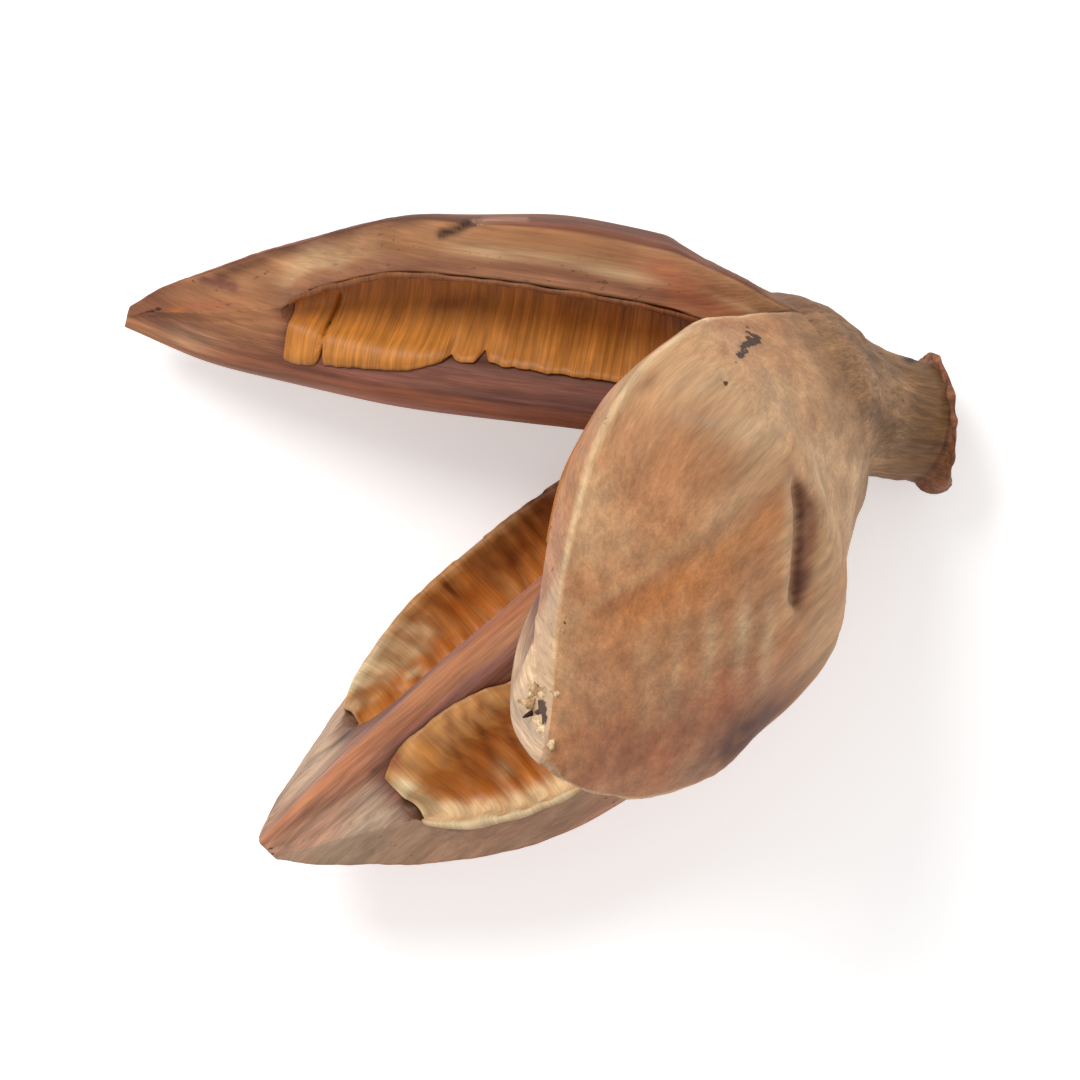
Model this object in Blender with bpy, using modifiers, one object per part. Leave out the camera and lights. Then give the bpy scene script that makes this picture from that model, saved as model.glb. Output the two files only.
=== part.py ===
"""A dried woody seed pod that has split from its tip into three valves.

Each valve is a spindle-shaped wedge. Its outer face is skin, and its two inner
faces slope back from the septum, a thick ridge along the middle. A long hollow
on each side of the septum held the seeds, and a papery striped lining still
sits in it. The valves, septa and neck grew as one woody piece, the capsule.
The six linings are pieces of their own. Lengths are metres, +Z is up, and the
pod lies on z = 0 on two of its valves and its collar.
"""

import math

import bpy
import numpy as np

MM = 0.001

# Driving sizes of the closed pod
POD_RADIUS = 23.5 * MM
VALVE_COUNT = 3
WEDGE_ANGLE = math.radians(60)
HINGE_DEPTH = 4.0 * MM

# How the pod lies: its axis seen from above, its rise, and its roll
POD_HEADING = math.radians(203)
POD_RISE = math.radians(24)
POD_ROLL = math.radians(-75)
REST_TURN_X = math.radians(0.58)
REST_TURN_Y = math.radians(0.55)
REST_PRESS = 0.4 * MM

# Radius along a valve, as a share of POD_RADIUS, from the neck to the tip
RADIUS_ALONG = [
    (0.00, 0.60), (0.10, 0.85), (0.22, 0.985), (0.36, 1.0), (0.55, 0.95),
    (0.69, 0.81), (0.79, 0.655), (0.90, 0.41), (0.96, 0.26), (1.00, 0.11),
]

# Each valve: its place round the axis, its length, how it dried open, its girth,
# the width of its cut face and where its hollows end
VALVES = {
    "upper": dict(
        around=0, length=78.8 * MM, opened=44.7, leaned=-29.6, twisted=16.2,
        curled=26, swept=20, girth=1.0, fullness=-0.02, margin=49, flare=0.0,
        rim=0.28, hollow_end=0.755,
    ),
    "lower": dict(
        around=120, length=78.0 * MM, opened=32.4, leaned=5.4, twisted=-11.0,
        curled=20, swept=0, girth=1.07, fullness=0.06, margin=50, flare=0.0,
        rim=0.19, hollow_end=0.81,
    ),
    "front": dict(
        around=-120, length=84.7 * MM, opened=34.3, leaned=15.7, twisted=-5.2,
        curled=88, swept=-26, girth=1.26, fullness=0.01, margin=53, flare=-0.02,
        rim=0.20, hollow_end=0.78,
    ),
}
OPENING_ENDS = 0.28
LEANING_ENDS = 0.70
CURL_STARTS = 0.30

# Section of a valve, as shares of the radius there
FACETS_FREE_AT = 0.12
SEPTUM_START = 0.03
SEPTUM_HALF_EDGE = 0.10
SEPTUM_CROWN = 0.03
FLANK_DEPTH = 0.16
FLANK_SPREAD = 0.07
CLOSED_FLANK = 0.30
RIM_AT_SPLIT = 0.20
HOLLOW_START = 0.05
HOLLOW_BLUNTNESS = 4
HOLLOW_AT_SEPTUM = (0.60, -0.16)
HOLLOW_AT_RIM = (0.52, -0.02)
SEPTUM_HALF_THICKNESS = 0.05

# Neck: distance along its curve, as a share, and radius
NECK_END = (16.0 * MM, -1.5 * MM, -12.0 * MM)
NECK_END_HEADING = math.radians(9)
NECK_END_DROP = math.radians(8)
NECK_PULL = 4.0 * MM
NECK_RADII = [
    (0.10, 12.0 * MM), (0.24, 9.6 * MM), (0.40, 7.9 * MM), (0.55, 7.0 * MM),
    (0.70, 6.7 * MM), (0.80, 6.5 * MM), (0.86, 6.7 * MM), (0.885, 7.4 * MM),
    (0.94, 7.8 * MM), (1.00, 7.3 * MM),
]
SCAR_RADIUS = 5.4 * MM
SCAR_DEPTH = 0.9 * MM

# Lining of a hollow
LINING_GAP = 0.35 * MM
LINING_THICKNESS = 0.60 * MM
LINING_RIB = 0.45 * MM

# How finely the faces are cut
ARC_STEPS = 9
HOLLOW_STEPS = 7
HOLLOW_STATIONS = 24
BASE_STATIONS = 3
BEAK_STATIONS = 5
SPINE_STEPS = 400
WELD_DIGITS = 7


def smooth(t):
    """Rise from 0 to 1 with level ends."""
    t = np.clip(t, 0.0, 1.0)
    return t * t * (3.0 - 2.0 * t)


def read_curve(points, t):
    """Read a smooth curve through (place, value) points that never overshoots."""
    places = np.array([p[0] for p in points])
    values = np.array([p[1] for p in points])
    spans = np.diff(places)
    rises = np.diff(values) / spans
    slopes = np.zeros(len(points))
    slopes[0] = rises[0]
    slopes[-1] = rises[-1]
    for k in range(1, len(points) - 1):
        if rises[k - 1] * rises[k] > 0:
            slopes[k] = 2 * rises[k - 1] * rises[k] / (rises[k - 1] + rises[k])
    t = min(max(t, places[0]), places[-1])
    k = min(int(np.searchsorted(places, t, side="right")) - 1, len(spans) - 1)
    u = (t - places[k]) / spans[k]
    ends = (1 + 2 * u) * (1 - u) ** 2 * values[k] + u * u * (3 - 2 * u) * values[k + 1]
    bends = u * (1 - u) ** 2 * slopes[k] + u * u * (u - 1) * slopes[k + 1]
    return ends + bends * spans[k]


def unit(vector):
    return np.asarray(vector, float) / np.linalg.norm(vector)


def turn(vector):
    """Rotation matrix about a vector whose length is the angle in radians."""
    angle = np.linalg.norm(vector)
    if angle < 1e-12:
        return np.eye(3)
    x, y, z = np.asarray(vector, float) / angle
    cross = np.array([[0, -z, y], [z, 0, -x], [-y, x, 0]])
    return np.eye(3) + math.sin(angle) * cross + (1 - math.cos(angle)) * cross @ cross


def direction(heading, rise):
    level = math.cos(rise)
    return np.array([level * math.cos(heading), level * math.sin(heading), math.sin(rise)])


def closed_frame(around):
    """Columns: outward, sideways and along the axis, for a valve of the closed pod."""
    axis = direction(POD_HEADING, POD_RISE)
    up = unit(np.array([0, 0, 1.0]) - axis[2] * axis)
    side = np.cross(axis, up)
    outward = -math.cos(POD_ROLL) * up - math.sin(POD_ROLL) * side
    outward = turn(axis * math.radians(around)) @ outward
    return np.stack([outward, np.cross(axis, outward), axis], axis=1)


def hollow_share(s, valve):
    """How open the seed hollow is at station s: 0 outside it, 1 along most of it."""
    middle = (HOLLOW_START + valve["hollow_end"]) / 2
    reach = (valve["hollow_end"] - HOLLOW_START) / 2
    inside = 1.0 - abs((s - middle) / reach) ** HOLLOW_BLUNTNESS
    return math.sqrt(max(inside, 0.0))


def half_section(s, valve):
    """Points from the keel round the rim and hollow to the septum's edge."""
    place = s - valve["fullness"] * math.sin(math.pi * s)
    swell = 1 + (valve["girth"] - 1) * smooth(s / 0.3)
    radius = read_curve(RADIUS_ALONG, place) * POD_RADIUS * swell
    freed = float(smooth(s / FACETS_FREE_AT))
    beak = float(smooth((1 - s) / 0.3))

    margin = WEDGE_ANGLE - (WEDGE_ANGLE - math.radians(valve["margin"])) * freed
    angles = np.linspace(0, margin, ARC_STEPS + 1)
    skin = radius * np.stack([np.cos(angles), np.sin(angles)], axis=1)
    flare = valve["flare"] * freed * float(smooth((1 - s) / 0.2))
    skin *= (1 + flare * (angles / margin) ** 5)[:, None]

    facet = radius * np.array([math.cos(WEDGE_ANGLE), math.sin(WEDGE_ANGLE)])
    septum_x = SEPTUM_START * radius * freed * beak
    edge = np.array([septum_x, SEPTUM_HALF_EDGE * radius * freed * (0.35 + 0.65 * beak)])
    flank = edge + radius * freed * np.array([FLANK_DEPTH, FLANK_SPREAD])
    flank += (1 - freed) * CLOSED_FLANK * facet
    rim = facet * (1 - (RIM_AT_SPLIT + (valve["rim"] - RIM_AT_SPLIT) * freed))

    share = hollow_share(s, valve)
    mouth = rim - flank
    near = flank + mouth * 0.5 * (1 - share)
    far = rim - mouth * 0.5 * (1 - share)
    depth = share ** 1.2 * radius
    pull_near = near + depth * np.array(HOLLOW_AT_SEPTUM)
    pull_far = far + depth * np.array(HOLLOW_AT_RIM)
    t = np.linspace(0, 1, HOLLOW_STEPS + 1)[:, None]
    hollow = (1 - t) ** 3 * far + 3 * (1 - t) ** 2 * t * pull_far
    hollow = hollow + 3 * (1 - t) * t ** 2 * pull_near + t ** 3 * near
    least = min(SEPTUM_HALF_THICKNESS * radius, near[1])
    hollow[:, 1] = np.maximum(hollow[:, 1], least)

    crown = np.array([septum_x - SEPTUM_CROWN * radius * freed * beak, 0.0])
    return np.concatenate([skin, hollow, [edge, crown]])


def whole_section(s, valve):
    """The closed loop of a valve's section: one half and its mirror image."""
    half = half_section(s, valve)
    mirrored = half[1:-1][::-1] * np.array([1, -1])
    return np.concatenate([half, mirrored])


def valve_spine(valve):
    """Places and frames along a valve, bent from the closed pod to how it dried."""
    closed = closed_frame(valve["around"])
    along = np.linspace(0, 1, SPINE_STEPS + 1)
    frames = np.empty((SPINE_STEPS + 1, 3, 3))
    for k, s in enumerate(along):
        opened = math.radians(valve["opened"]) * smooth(s / OPENING_ENDS)
        eased = smooth(s / LEANING_ENDS)
        leaned = math.radians(valve["leaned"]) * eased
        twisted = math.radians(valve["twisted"]) * eased
        frame = closed @ turn([leaned, opened, twisted])
        late = (s - 0.5) * smooth(s / CURL_STARTS)
        curl = turn(frame[:, 1] * math.radians(valve["curled"]) * late)
        sweep = turn(frame[:, 0] * math.radians(valve["swept"]) * late)
        frames[k] = sweep @ curl @ frame
    steps = frames[:, :, 2] * valve["length"] / SPINE_STEPS
    places = np.zeros((SPINE_STEPS + 1, 3))
    places[1:] = np.cumsum((steps[1:] + steps[:-1]) / 2, axis=0)
    return places + closed[:, 0] * HINGE_DEPTH, frames


def stations(valve):
    """Stations along a valve, closer together at the blunt ends of the hollow."""
    start, end = HOLLOW_START, valve["hollow_end"]
    base = np.linspace(0, start, BASE_STATIONS)[:-1]
    even = np.linspace(0, 1, HOLLOW_STATIONS + 1)
    crowded = (1 - np.cos(math.pi * even)) / 2
    hollow = start + (end - start) * (0.6 * even + 0.4 * crowded)
    beak = np.linspace(end, 1, BEAK_STATIONS + 1)[1:]
    return np.concatenate([base, hollow, beak])


def valve_rows(valve):
    """World points of every section loop along one valve."""
    places, frames = valve_spine(valve)
    rows = []
    for s in stations(valve):
        k = min(int(s * SPINE_STEPS), SPINE_STEPS - 1)
        part = s * SPINE_STEPS - k
        place = places[k] * (1 - part) + places[k + 1] * part
        frame = frames[k] * (1 - part) + frames[k + 1] * part
        loop = whole_section(s, valve)
        out = np.outer(loop[:, 0] - HINGE_DEPTH, frame[:, 0])
        rows.append(place + out + np.outer(loop[:, 1], frame[:, 1]))
    return np.array(rows)


def neck_rows():
    """Rings from the split down the bent neck to the collar and its scar."""
    start_frame = closed_frame(0)
    heading = direction(NECK_END_HEADING, -NECK_END_DROP)
    end = np.array(NECK_END)
    pulls = [np.zeros(3), -start_frame[:, 2] * NECK_PULL, end - heading * NECK_PULL, end]
    angles = []
    for around in range(VALVE_COUNT):
        first = around * 2 * WEDGE_ANGLE - WEDGE_ANGLE
        angles.extend(np.linspace(first, first + 2 * WEDGE_ANGLE, 2 * ARC_STEPS + 1)[:-1])
    angles = np.array(angles)

    rows = []
    outward = start_frame[:, 0]
    for t, radius in NECK_RADII + [(1.0, SCAR_RADIUS)]:
        centre = bezier(pulls, t)
        tangent = unit(bezier(pulls, min(t + 0.01, 1.0)) - bezier(pulls, min(t, 0.99)))
        outward = unit(outward - tangent * (outward @ tangent))
        sideways = np.cross(-tangent, outward)
        if radius == SCAR_RADIUS:
            centre = centre - tangent * SCAR_DEPTH
        ring = np.outer(np.cos(angles), outward) + np.outer(np.sin(angles), sideways)
        rows.append(centre + ring * radius)
    return np.array(rows)


def bezier(pulls, t):
    a, b, c, d = pulls
    return (1 - t) ** 3 * a + 3 * (1 - t) ** 2 * t * b + 3 * (1 - t) * t * t * c + t ** 3 * d


class Shell:
    """Collects faces by their corner points, and welds corners that coincide."""

    def __init__(self):
        self.index = {}
        self.points = []
        self.faces = []

    def corner(self, point):
        key = tuple(np.round(point, WELD_DIGITS))
        if key not in self.index:
            self.index[key] = len(self.points)
            self.points.append(point)
        return self.index[key]

    def face(self, corners):
        ring = list(dict.fromkeys(self.corner(p) for p in corners))
        if len(ring) >= 3:
            self.faces.append(ring)

    def loft(self, rows):
        """Skin between closed loops of equal length."""
        count = len(rows[0])
        for low, high in zip(rows[:-1], rows[1:]):
            for j in range(count):
                k = (j + 1) % count
                self.face([low[j], low[k], high[k]])
                self.face([low[j], high[k], high[j]])

    def cap(self, row):
        """Close a loop with a fan of triangles round its middle."""
        middle = row.mean(axis=0)
        for j in range(len(row)):
            self.face([row[j], row[(j + 1) % len(row)], middle])


def lay_down(points, lowest):
    """Turn the pod to how it rests and press its lowest spots flat on z = 0."""
    turned = np.asarray(points) @ rest_turn().T
    turned[:, 2] -= lowest + REST_PRESS
    turned[:, 2] = np.maximum(turned[:, 2], 0.0)
    return turned


def rest_turn():
    return turn([REST_TURN_X, 0, 0]) @ turn([0, REST_TURN_Y, 0])


def make_material(name, colour, roughness):
    material = bpy.data.materials.new(name)
    material.use_nodes = True
    shader = material.node_tree.nodes["Principled BSDF"]
    shader.inputs["Base Color"].default_value = (*colour, 1)
    shader.inputs["Roughness"].default_value = roughness
    shader.inputs["Metallic"].default_value = 0.0
    material.diffuse_color = (*colour, 1)
    return material


def make_object(name, points, faces, material, collection):
    mesh = bpy.data.meshes.new(name)
    mesh.from_pydata([tuple(p) for p in points], [], faces)
    mesh.materials.append(material)
    mesh.shade_smooth()
    piece = bpy.data.objects.new(name, mesh)
    collection.objects.link(piece)
    return piece


def capsule_shell(rows_by_valve):
    """One closed skin over the neck and the three valves."""
    shell = Shell()
    split_ring = []
    for rows in rows_by_valve:
        shell.loft(rows)
        shell.cap(rows[-1])
        left_half = rows[0][-ARC_STEPS:]
        right_half = rows[0][:ARC_STEPS]
        split_ring.append(np.concatenate([left_half, right_half]))
    neck = [np.concatenate(split_ring)] + list(neck_rows())
    shell.loft([ring[::-1] for ring in neck])
    shell.cap(neck[-1][::-1])
    return shell


def lining_grid(rows, mirrored):
    """Points of one lining, raised off the hollow's wall, ribbed across."""
    first = ARC_STEPS + 1
    columns = list(range(first, first + HOLLOW_STEPS + 1))
    if mirrored:
        columns = [len(rows[0]) - c for c in columns]
    start = BASE_STATIONS - 1
    hollow = rows[start:start + HOLLOW_STATIONS + 1][:, columns]
    along = np.gradient(hollow, axis=0)
    across = np.gradient(hollow, axis=1)
    normal = np.cross(across, along)
    if mirrored:
        normal = -normal
    normal /= np.linalg.norm(normal, axis=2, keepdims=True) + 1e-12
    inner = slice(2, HOLLOW_STATIONS - 1)
    hollow = hollow[inner, 1:-1]
    normal = normal[inner, 1:-1]
    rib = LINING_RIB * (np.arange(len(hollow)) % 2)
    return hollow + normal * (LINING_GAP + rib)[:, None, None]


def lining_faces(grid, mirrored):
    high, wide = grid.shape[:2]
    faces = []
    for i in range(high - 1):
        for j in range(wide - 1):
            corner = i * wide + j
            ring = [corner, corner + 1, corner + wide + 1, corner + wide]
            if mirrored:
                ring.reverse()
            faces.append(ring)
    return faces


def build_lining(name, rows, mirrored, lowest, material, collection):
    grid = lining_grid(rows, mirrored)
    points = lay_down(grid.reshape(-1, 3), lowest)
    piece = make_object(name, points, lining_faces(grid, mirrored), material, collection)
    thicken = piece.modifiers.new("paper", "SOLIDIFY")
    thicken.thickness = LINING_THICKNESS
    thicken.offset = 1.0
    thicken.use_even_offset = False
    return piece


def centre_on_origin(pieces):
    """Put the middle of the whole pod's footprint on the origin."""
    points = np.array([v.co for piece in pieces for v in piece.data.vertices])
    middle = (points.min(axis=0) + points.max(axis=0)) / 2
    for piece in pieces:
        for vertex in piece.data.vertices:
            vertex.co.x -= middle[0]
            vertex.co.y -= middle[1]


def build_pod():
    for old in list(bpy.data.objects):
        bpy.data.objects.remove(old, do_unlink=True)
    collection = bpy.data.collections.new("seed_pod")
    bpy.context.scene.collection.children.link(collection)
    wood = make_material("dried_husk", (0.36, 0.21, 0.12), 0.8)
    paper = make_material("papery_lining", (0.50, 0.22, 0.04), 0.55)

    rows = {name: valve_rows(valve) for name, valve in VALVES.items()}
    shell = capsule_shell(list(rows.values()))
    lowest = (np.array(shell.points) @ rest_turn().T)[:, 2].min()
    points = lay_down(shell.points, lowest)
    pieces = [make_object("capsule", points, shell.faces, wood, collection)]
    for name, valve in VALVES.items():
        for side, mirrored in (("left", False), ("right", True)):
            title = f"lining_{name}_{side}"
            lining = build_lining(title, rows[name], mirrored, lowest, paper, collection)
            pieces.append(lining)
    centre_on_origin(pieces)


build_pod()
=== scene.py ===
# %% [markdown]
# # A dried seed pod that has split into three valves
#
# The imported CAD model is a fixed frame: it gives the pod its size, its pose and its
# weight. This lesson dresses that frame. Each step first says what the piece or the
# finish is on a real pod and how it could be made, and then makes it.
#
# All lengths are metres unless a name or a comment says millimetres. The camera looks
# straight down, so +X is right and +Y is up in the picture.

import math

import bpy
import numpy as np
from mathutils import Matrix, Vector, noise


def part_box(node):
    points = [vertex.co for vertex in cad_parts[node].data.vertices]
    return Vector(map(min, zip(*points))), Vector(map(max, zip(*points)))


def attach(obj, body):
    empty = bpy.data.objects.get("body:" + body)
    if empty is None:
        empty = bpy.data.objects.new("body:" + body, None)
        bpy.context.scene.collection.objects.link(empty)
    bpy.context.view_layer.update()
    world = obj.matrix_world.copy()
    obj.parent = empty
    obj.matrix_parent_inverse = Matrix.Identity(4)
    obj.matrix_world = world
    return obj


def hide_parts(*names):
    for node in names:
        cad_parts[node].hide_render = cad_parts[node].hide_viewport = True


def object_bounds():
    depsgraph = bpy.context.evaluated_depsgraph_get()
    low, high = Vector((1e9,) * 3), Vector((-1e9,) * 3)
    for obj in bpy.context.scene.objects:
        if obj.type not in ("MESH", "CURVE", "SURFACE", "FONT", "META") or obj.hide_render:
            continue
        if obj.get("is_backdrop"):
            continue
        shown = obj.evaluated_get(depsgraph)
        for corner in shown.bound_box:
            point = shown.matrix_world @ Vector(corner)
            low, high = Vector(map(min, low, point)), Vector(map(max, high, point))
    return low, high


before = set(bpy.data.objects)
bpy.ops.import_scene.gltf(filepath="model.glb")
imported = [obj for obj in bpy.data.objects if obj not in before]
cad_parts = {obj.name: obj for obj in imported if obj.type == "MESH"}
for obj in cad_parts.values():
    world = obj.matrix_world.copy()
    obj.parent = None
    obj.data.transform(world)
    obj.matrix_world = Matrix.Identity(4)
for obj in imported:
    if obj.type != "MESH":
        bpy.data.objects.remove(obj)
cad_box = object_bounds()
MM = 0.001
print("nodes in the frame:", sorted(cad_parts))

# %% [markdown]
# ## The growth rule of a valve
#
# A pod grows as one closed spindle. When it dries it splits along three seams from the
# tip, and each third, a valve, bends outwards. A sculptor could push a sphere into this
# shape, but a rule is easier to steer: draw the valve's section at one place, let the
# radius follow a curve from neck to tip, and carry the section along a bent spine. The
# numbers are the ones that the CAD solid was built from, so the finer skin made here
# lies on the coarse one.

# %% Sizes of the pod and of its three valves
POD_RADIUS = 23.5 * MM
WEDGE_ANGLE = math.radians(60)
HINGE_DEPTH = 4.0 * MM
POD_HEADING = math.radians(203)
POD_RISE = math.radians(24)
POD_ROLL = math.radians(-75)

RADIUS_ALONG = [
    (0.00, 0.60), (0.10, 0.85), (0.22, 0.985), (0.36, 1.0), (0.55, 0.95),
    (0.69, 0.81), (0.79, 0.655), (0.90, 0.41), (0.96, 0.26), (1.00, 0.11),
]
VALVES = {
    "upper": dict(
        around=0, length=78.8 * MM, opened=44.7, leaned=-29.6, twisted=16.2,
        curled=26, swept=20, girth=1.0, fullness=-0.02, margin=49, flare=0.0,
        rim=0.28, hollow_end=0.755, bevel=0.7, lined=0.975,
    ),
    "lower": dict(
        around=120, length=78.0 * MM, opened=32.4, leaned=5.4, twisted=-11.0,
        curled=20, swept=0, girth=1.07, fullness=0.06, margin=50, flare=0.0,
        rim=0.19, hollow_end=0.81, bevel=0.2, lined=0.975,
    ),
    "front": dict(
        around=-120, length=84.7 * MM, opened=34.3, leaned=15.7, twisted=-5.2,
        curled=88, swept=-26, girth=1.26, fullness=0.01, margin=53, flare=-0.02,
        rim=0.20, hollow_end=0.78, bevel=0.3, lined=0.76,
    ),
}
print("valves and the degrees they opened by:", {n: v["opened"] for n, v in VALVES.items()})

# %% [markdown]
# ## Small tools of shape
#
# Four helpers carry the whole build: an eased step, a curve through a few stated
# values that never overshoots, a rotation about any axis, and a direction given as a
# compass heading and a rise.

# %% Eased step, smooth curve, rotation and direction
def smooth(t):
    t = np.clip(t, 0.0, 1.0)
    return t * t * (3.0 - 2.0 * t)


def read_curve(points, t):
    places = np.array([p[0] for p in points])
    values = np.array([p[1] for p in points])
    spans = np.diff(places)
    rises = np.diff(values) / spans
    slopes = np.zeros(len(points))
    slopes[0], slopes[-1] = rises[0], rises[-1]
    for k in range(1, len(points) - 1):
        if rises[k - 1] * rises[k] > 0:
            slopes[k] = 2 * rises[k - 1] * rises[k] / (rises[k - 1] + rises[k])
    t = min(max(t, places[0]), places[-1])
    k = min(int(np.searchsorted(places, t, side="right")) - 1, len(spans) - 1)
    u = (t - places[k]) / spans[k]
    ends = (1 + 2 * u) * (1 - u) ** 2 * values[k] + u * u * (3 - 2 * u) * values[k + 1]
    bends = u * (1 - u) ** 2 * slopes[k] + u * u * (u - 1) * slopes[k + 1]
    return ends + bends * spans[k]


def unit(vector):
    return np.asarray(vector, float) / np.linalg.norm(vector)


def turn(vector):
    angle = np.linalg.norm(vector)
    if angle < 1e-12:
        return np.eye(3)
    x, y, z = np.asarray(vector, float) / angle
    cross = np.array([[0, -z, y], [z, 0, -x], [-y, x, 0]])
    return np.eye(3) + math.sin(angle) * cross + (1 - math.cos(angle)) * cross @ cross


def direction(heading, rise):
    level = math.cos(rise)
    return np.array([level * math.cos(heading), level * math.sin(heading), math.sin(rise)])


print("radius at mid length:", round(read_curve(RADIUS_ALONG, 0.5) * POD_RADIUS / MM, 1), "mm")

# %% [markdown]
# ## The section, cut finely
#
# Seen end on, a valve is a wedge of the pod. From its keel the section runs round the
# outer skin, over the cut face where the seam was, down into the seed hollow, up the
# septum's flank and onto the septum's crest, and back on the other side in mirror
# image. Each stretch is a zone of its own with its own number of steps, so that a face
# always knows which wood it is made of.

# %% Zones of the section and their steps
ZONES = [("skin", 26), ("cut", 13), ("hollow", 14), ("flank", 9), ("crest", 4)]
HALF_ZONES = [name for name, steps in ZONES for _ in range(steps)]
LOOP_ZONES = HALF_ZONES + HALF_ZONES[::-1]
SKIN_STEPS = ZONES[0][1]


def mirrored(half):
    return np.concatenate([half, half[1:-1][::-1]])


POINT_ZONES = mirrored(np.array([HALF_ZONES[0]] + HALF_ZONES))
half_shares = [0] + [(k + 1) / steps for _, steps in ZONES for k in range(steps)]
POINT_SHARES = mirrored(np.array(half_shares))
print("points round one section:", len(LOOP_ZONES))

# %% [markdown]
# ## Skin, cut face and septum
#
# A station s runs from 0 at the neck to 1 at the tip. The skin is an arc. The septum is
# fused with its neighbours near the neck and gets free further on, and past the hollow
# everything runs together into a solid beak, so most sizes fade in and out along s.

# %% Main points of the section
FACETS_FREE_AT = 0.12
SEPTUM_START = 0.03
SEPTUM_HALF_EDGE = 0.10
SEPTUM_CROWN = 0.03
FLANK_DEPTH = 0.16
FLANK_SPREAD = 0.07
CLOSED_FLANK = 0.30
RIM_AT_SPLIT = 0.20


def section_marks(s, valve):
    """The section's main points at station s, and its radius."""
    place = s - valve["fullness"] * math.sin(math.pi * s)
    swell = 1 + (valve["girth"] - 1) * smooth(s / 0.3)
    radius = read_curve(RADIUS_ALONG, place) * POD_RADIUS * swell
    freed = float(smooth(s / FACETS_FREE_AT))
    beak = float(smooth((1 - s) / 0.3))
    margin = WEDGE_ANGLE - (WEDGE_ANGLE - math.radians(valve["margin"])) * freed
    angles = np.linspace(0, margin, SKIN_STEPS + 1)
    skin = radius * np.stack([np.cos(angles), np.sin(angles)], axis=1)
    flare = valve["flare"] * freed * float(smooth((1 - s) / 0.2))
    skin *= (1 + flare * (angles / margin) ** 5)[:, None]

    facet = radius * np.array([math.cos(WEDGE_ANGLE), math.sin(WEDGE_ANGLE)])
    septum_x = SEPTUM_START * radius * freed * beak
    edge = np.array([septum_x, SEPTUM_HALF_EDGE * radius * freed * (0.35 + 0.65 * beak)])
    flank = edge + radius * freed * np.array([FLANK_DEPTH, FLANK_SPREAD])
    flank += (1 - freed) * CLOSED_FLANK * facet
    rim = facet * (1 - (RIM_AT_SPLIT + (valve["rim"] - RIM_AT_SPLIT) * freed))
    crown = np.array([septum_x - SEPTUM_CROWN * radius * freed * beak, 0.0])
    return radius, skin, rim, flank, edge, crown


middle_radius = section_marks(0.5, VALVES["front"])[0]
print("radius of the front valve at mid length:", round(middle_radius / MM, 1), "mm")

# %% [markdown]
# ## The seed hollow
#
# On each side of the septum lay a row of seeds. Their hollow is a rounded trough that
# is blunt at both ends. A boolean cut would leave a raw edge, so the trough is drawn as
# a Bezier curve in each section, pulled into the wood as deep as the hollow is there.

# %% Wall of the seed hollow
HOLLOW_START = 0.05
HOLLOW_BLUNTNESS = 4
HOLLOW_AT_SEPTUM = (0.60, -0.16)
HOLLOW_AT_RIM = (0.52, -0.02)
SEPTUM_HALF_THICKNESS = 0.05
LEAST_MOUTH = 0.2
INTO_WOOD = np.array([math.sin(WEDGE_ANGLE), -math.cos(WEDGE_ANGLE)])


def hollow_share(s, valve):
    """How much of its full size the hollow has at station s."""
    middle = (HOLLOW_START + valve["hollow_end"]) / 2
    reach = (valve["hollow_end"] - HOLLOW_START) / 2
    return math.sqrt(max(1.0 - abs((s - middle) / reach) ** HOLLOW_BLUNTNESS, 0.0))


def bevel_depth(s, valve):
    """How far the inner part of the cut face dips into the wood."""
    return INTO_WOOD * valve["bevel"] * MM * hollow_share(s, valve)


def hollow_curve(s, valve, t):
    """Points of the seed hollow's wall, from the rim at t = 0 to the septum at t = 1."""
    radius, _, rim, flank, _, _ = section_marks(s, valve)
    share = hollow_share(s, valve)
    mouth = rim - flank
    near = flank + mouth * 0.5 * (1 - max(share, LEAST_MOUTH))
    far = rim - mouth * 0.5 * (1 - max(share, LEAST_MOUTH))
    depth = share ** 1.2 * radius
    pull_near = near + depth * np.array(HOLLOW_AT_SEPTUM)
    pull_far = far + depth * np.array(HOLLOW_AT_RIM)
    t = np.asarray(t)[:, None]
    wall = (1 - t) ** 3 * far + 3 * (1 - t) ** 2 * t * pull_far
    wall = wall + 3 * (1 - t) * t ** 2 * pull_near + t ** 3 * near
    wall = wall + bevel_depth(s, valve) * (1 - smooth(t / 0.35))
    wall[:, 1] = np.maximum(wall[:, 1], min(SEPTUM_HALF_THICKNESS * radius, near[1]))
    return wall


print("share of the hollow's size at mid length:", round(hollow_share(0.5, VALVES["upper"]), 2))

# %% Join the stretches of a section
def eased(steps):
    """Even steps, drawn in a little towards both ends."""
    even = np.linspace(0, 1, steps + 1)
    return 0.5 * even + 0.5 * (1 - np.cos(math.pi * even)) / 2


def between(start, end, steps):
    return start + (end - start) * eased(steps)[1:, None]


def whole_section(s, valve):
    _, skin, _, _, edge, crown = section_marks(s, valve)
    steps = dict(ZONES)
    wall = hollow_curve(s, valve, eased(steps["hollow"]))
    dip = bevel_depth(s, valve)
    cut = between(skin[-1], wall[0] - dip, steps["cut"])
    cut = cut + dip * smooth((eased(steps["cut"])[1:, None] - 0.5) / 0.3)
    half = np.concatenate([
        skin, cut, wall[1:],
        between(wall[-1], edge, steps["flank"]),
        between(edge, crown, steps["crest"]),
    ])
    return np.concatenate([half, half[1:-1][::-1] * np.array([1, -1])])


print("points of a whole section:", whole_section(0.5, VALVES["upper"]).shape)

# %% [markdown]
# ## The bent spine
#
# A valve doesn't hinge like a door. It leans, opens and twists near the neck and then
# curls on towards its tip. So the spine is a list of small steps, and each step carries
# a frame of three directions: outward, sideways and along.

# %% Spine of a valve
SPINE_STEPS = 400
OPENING_ENDS = 0.28
LEANING_ENDS = 0.70
CURL_STARTS = 0.30


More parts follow.
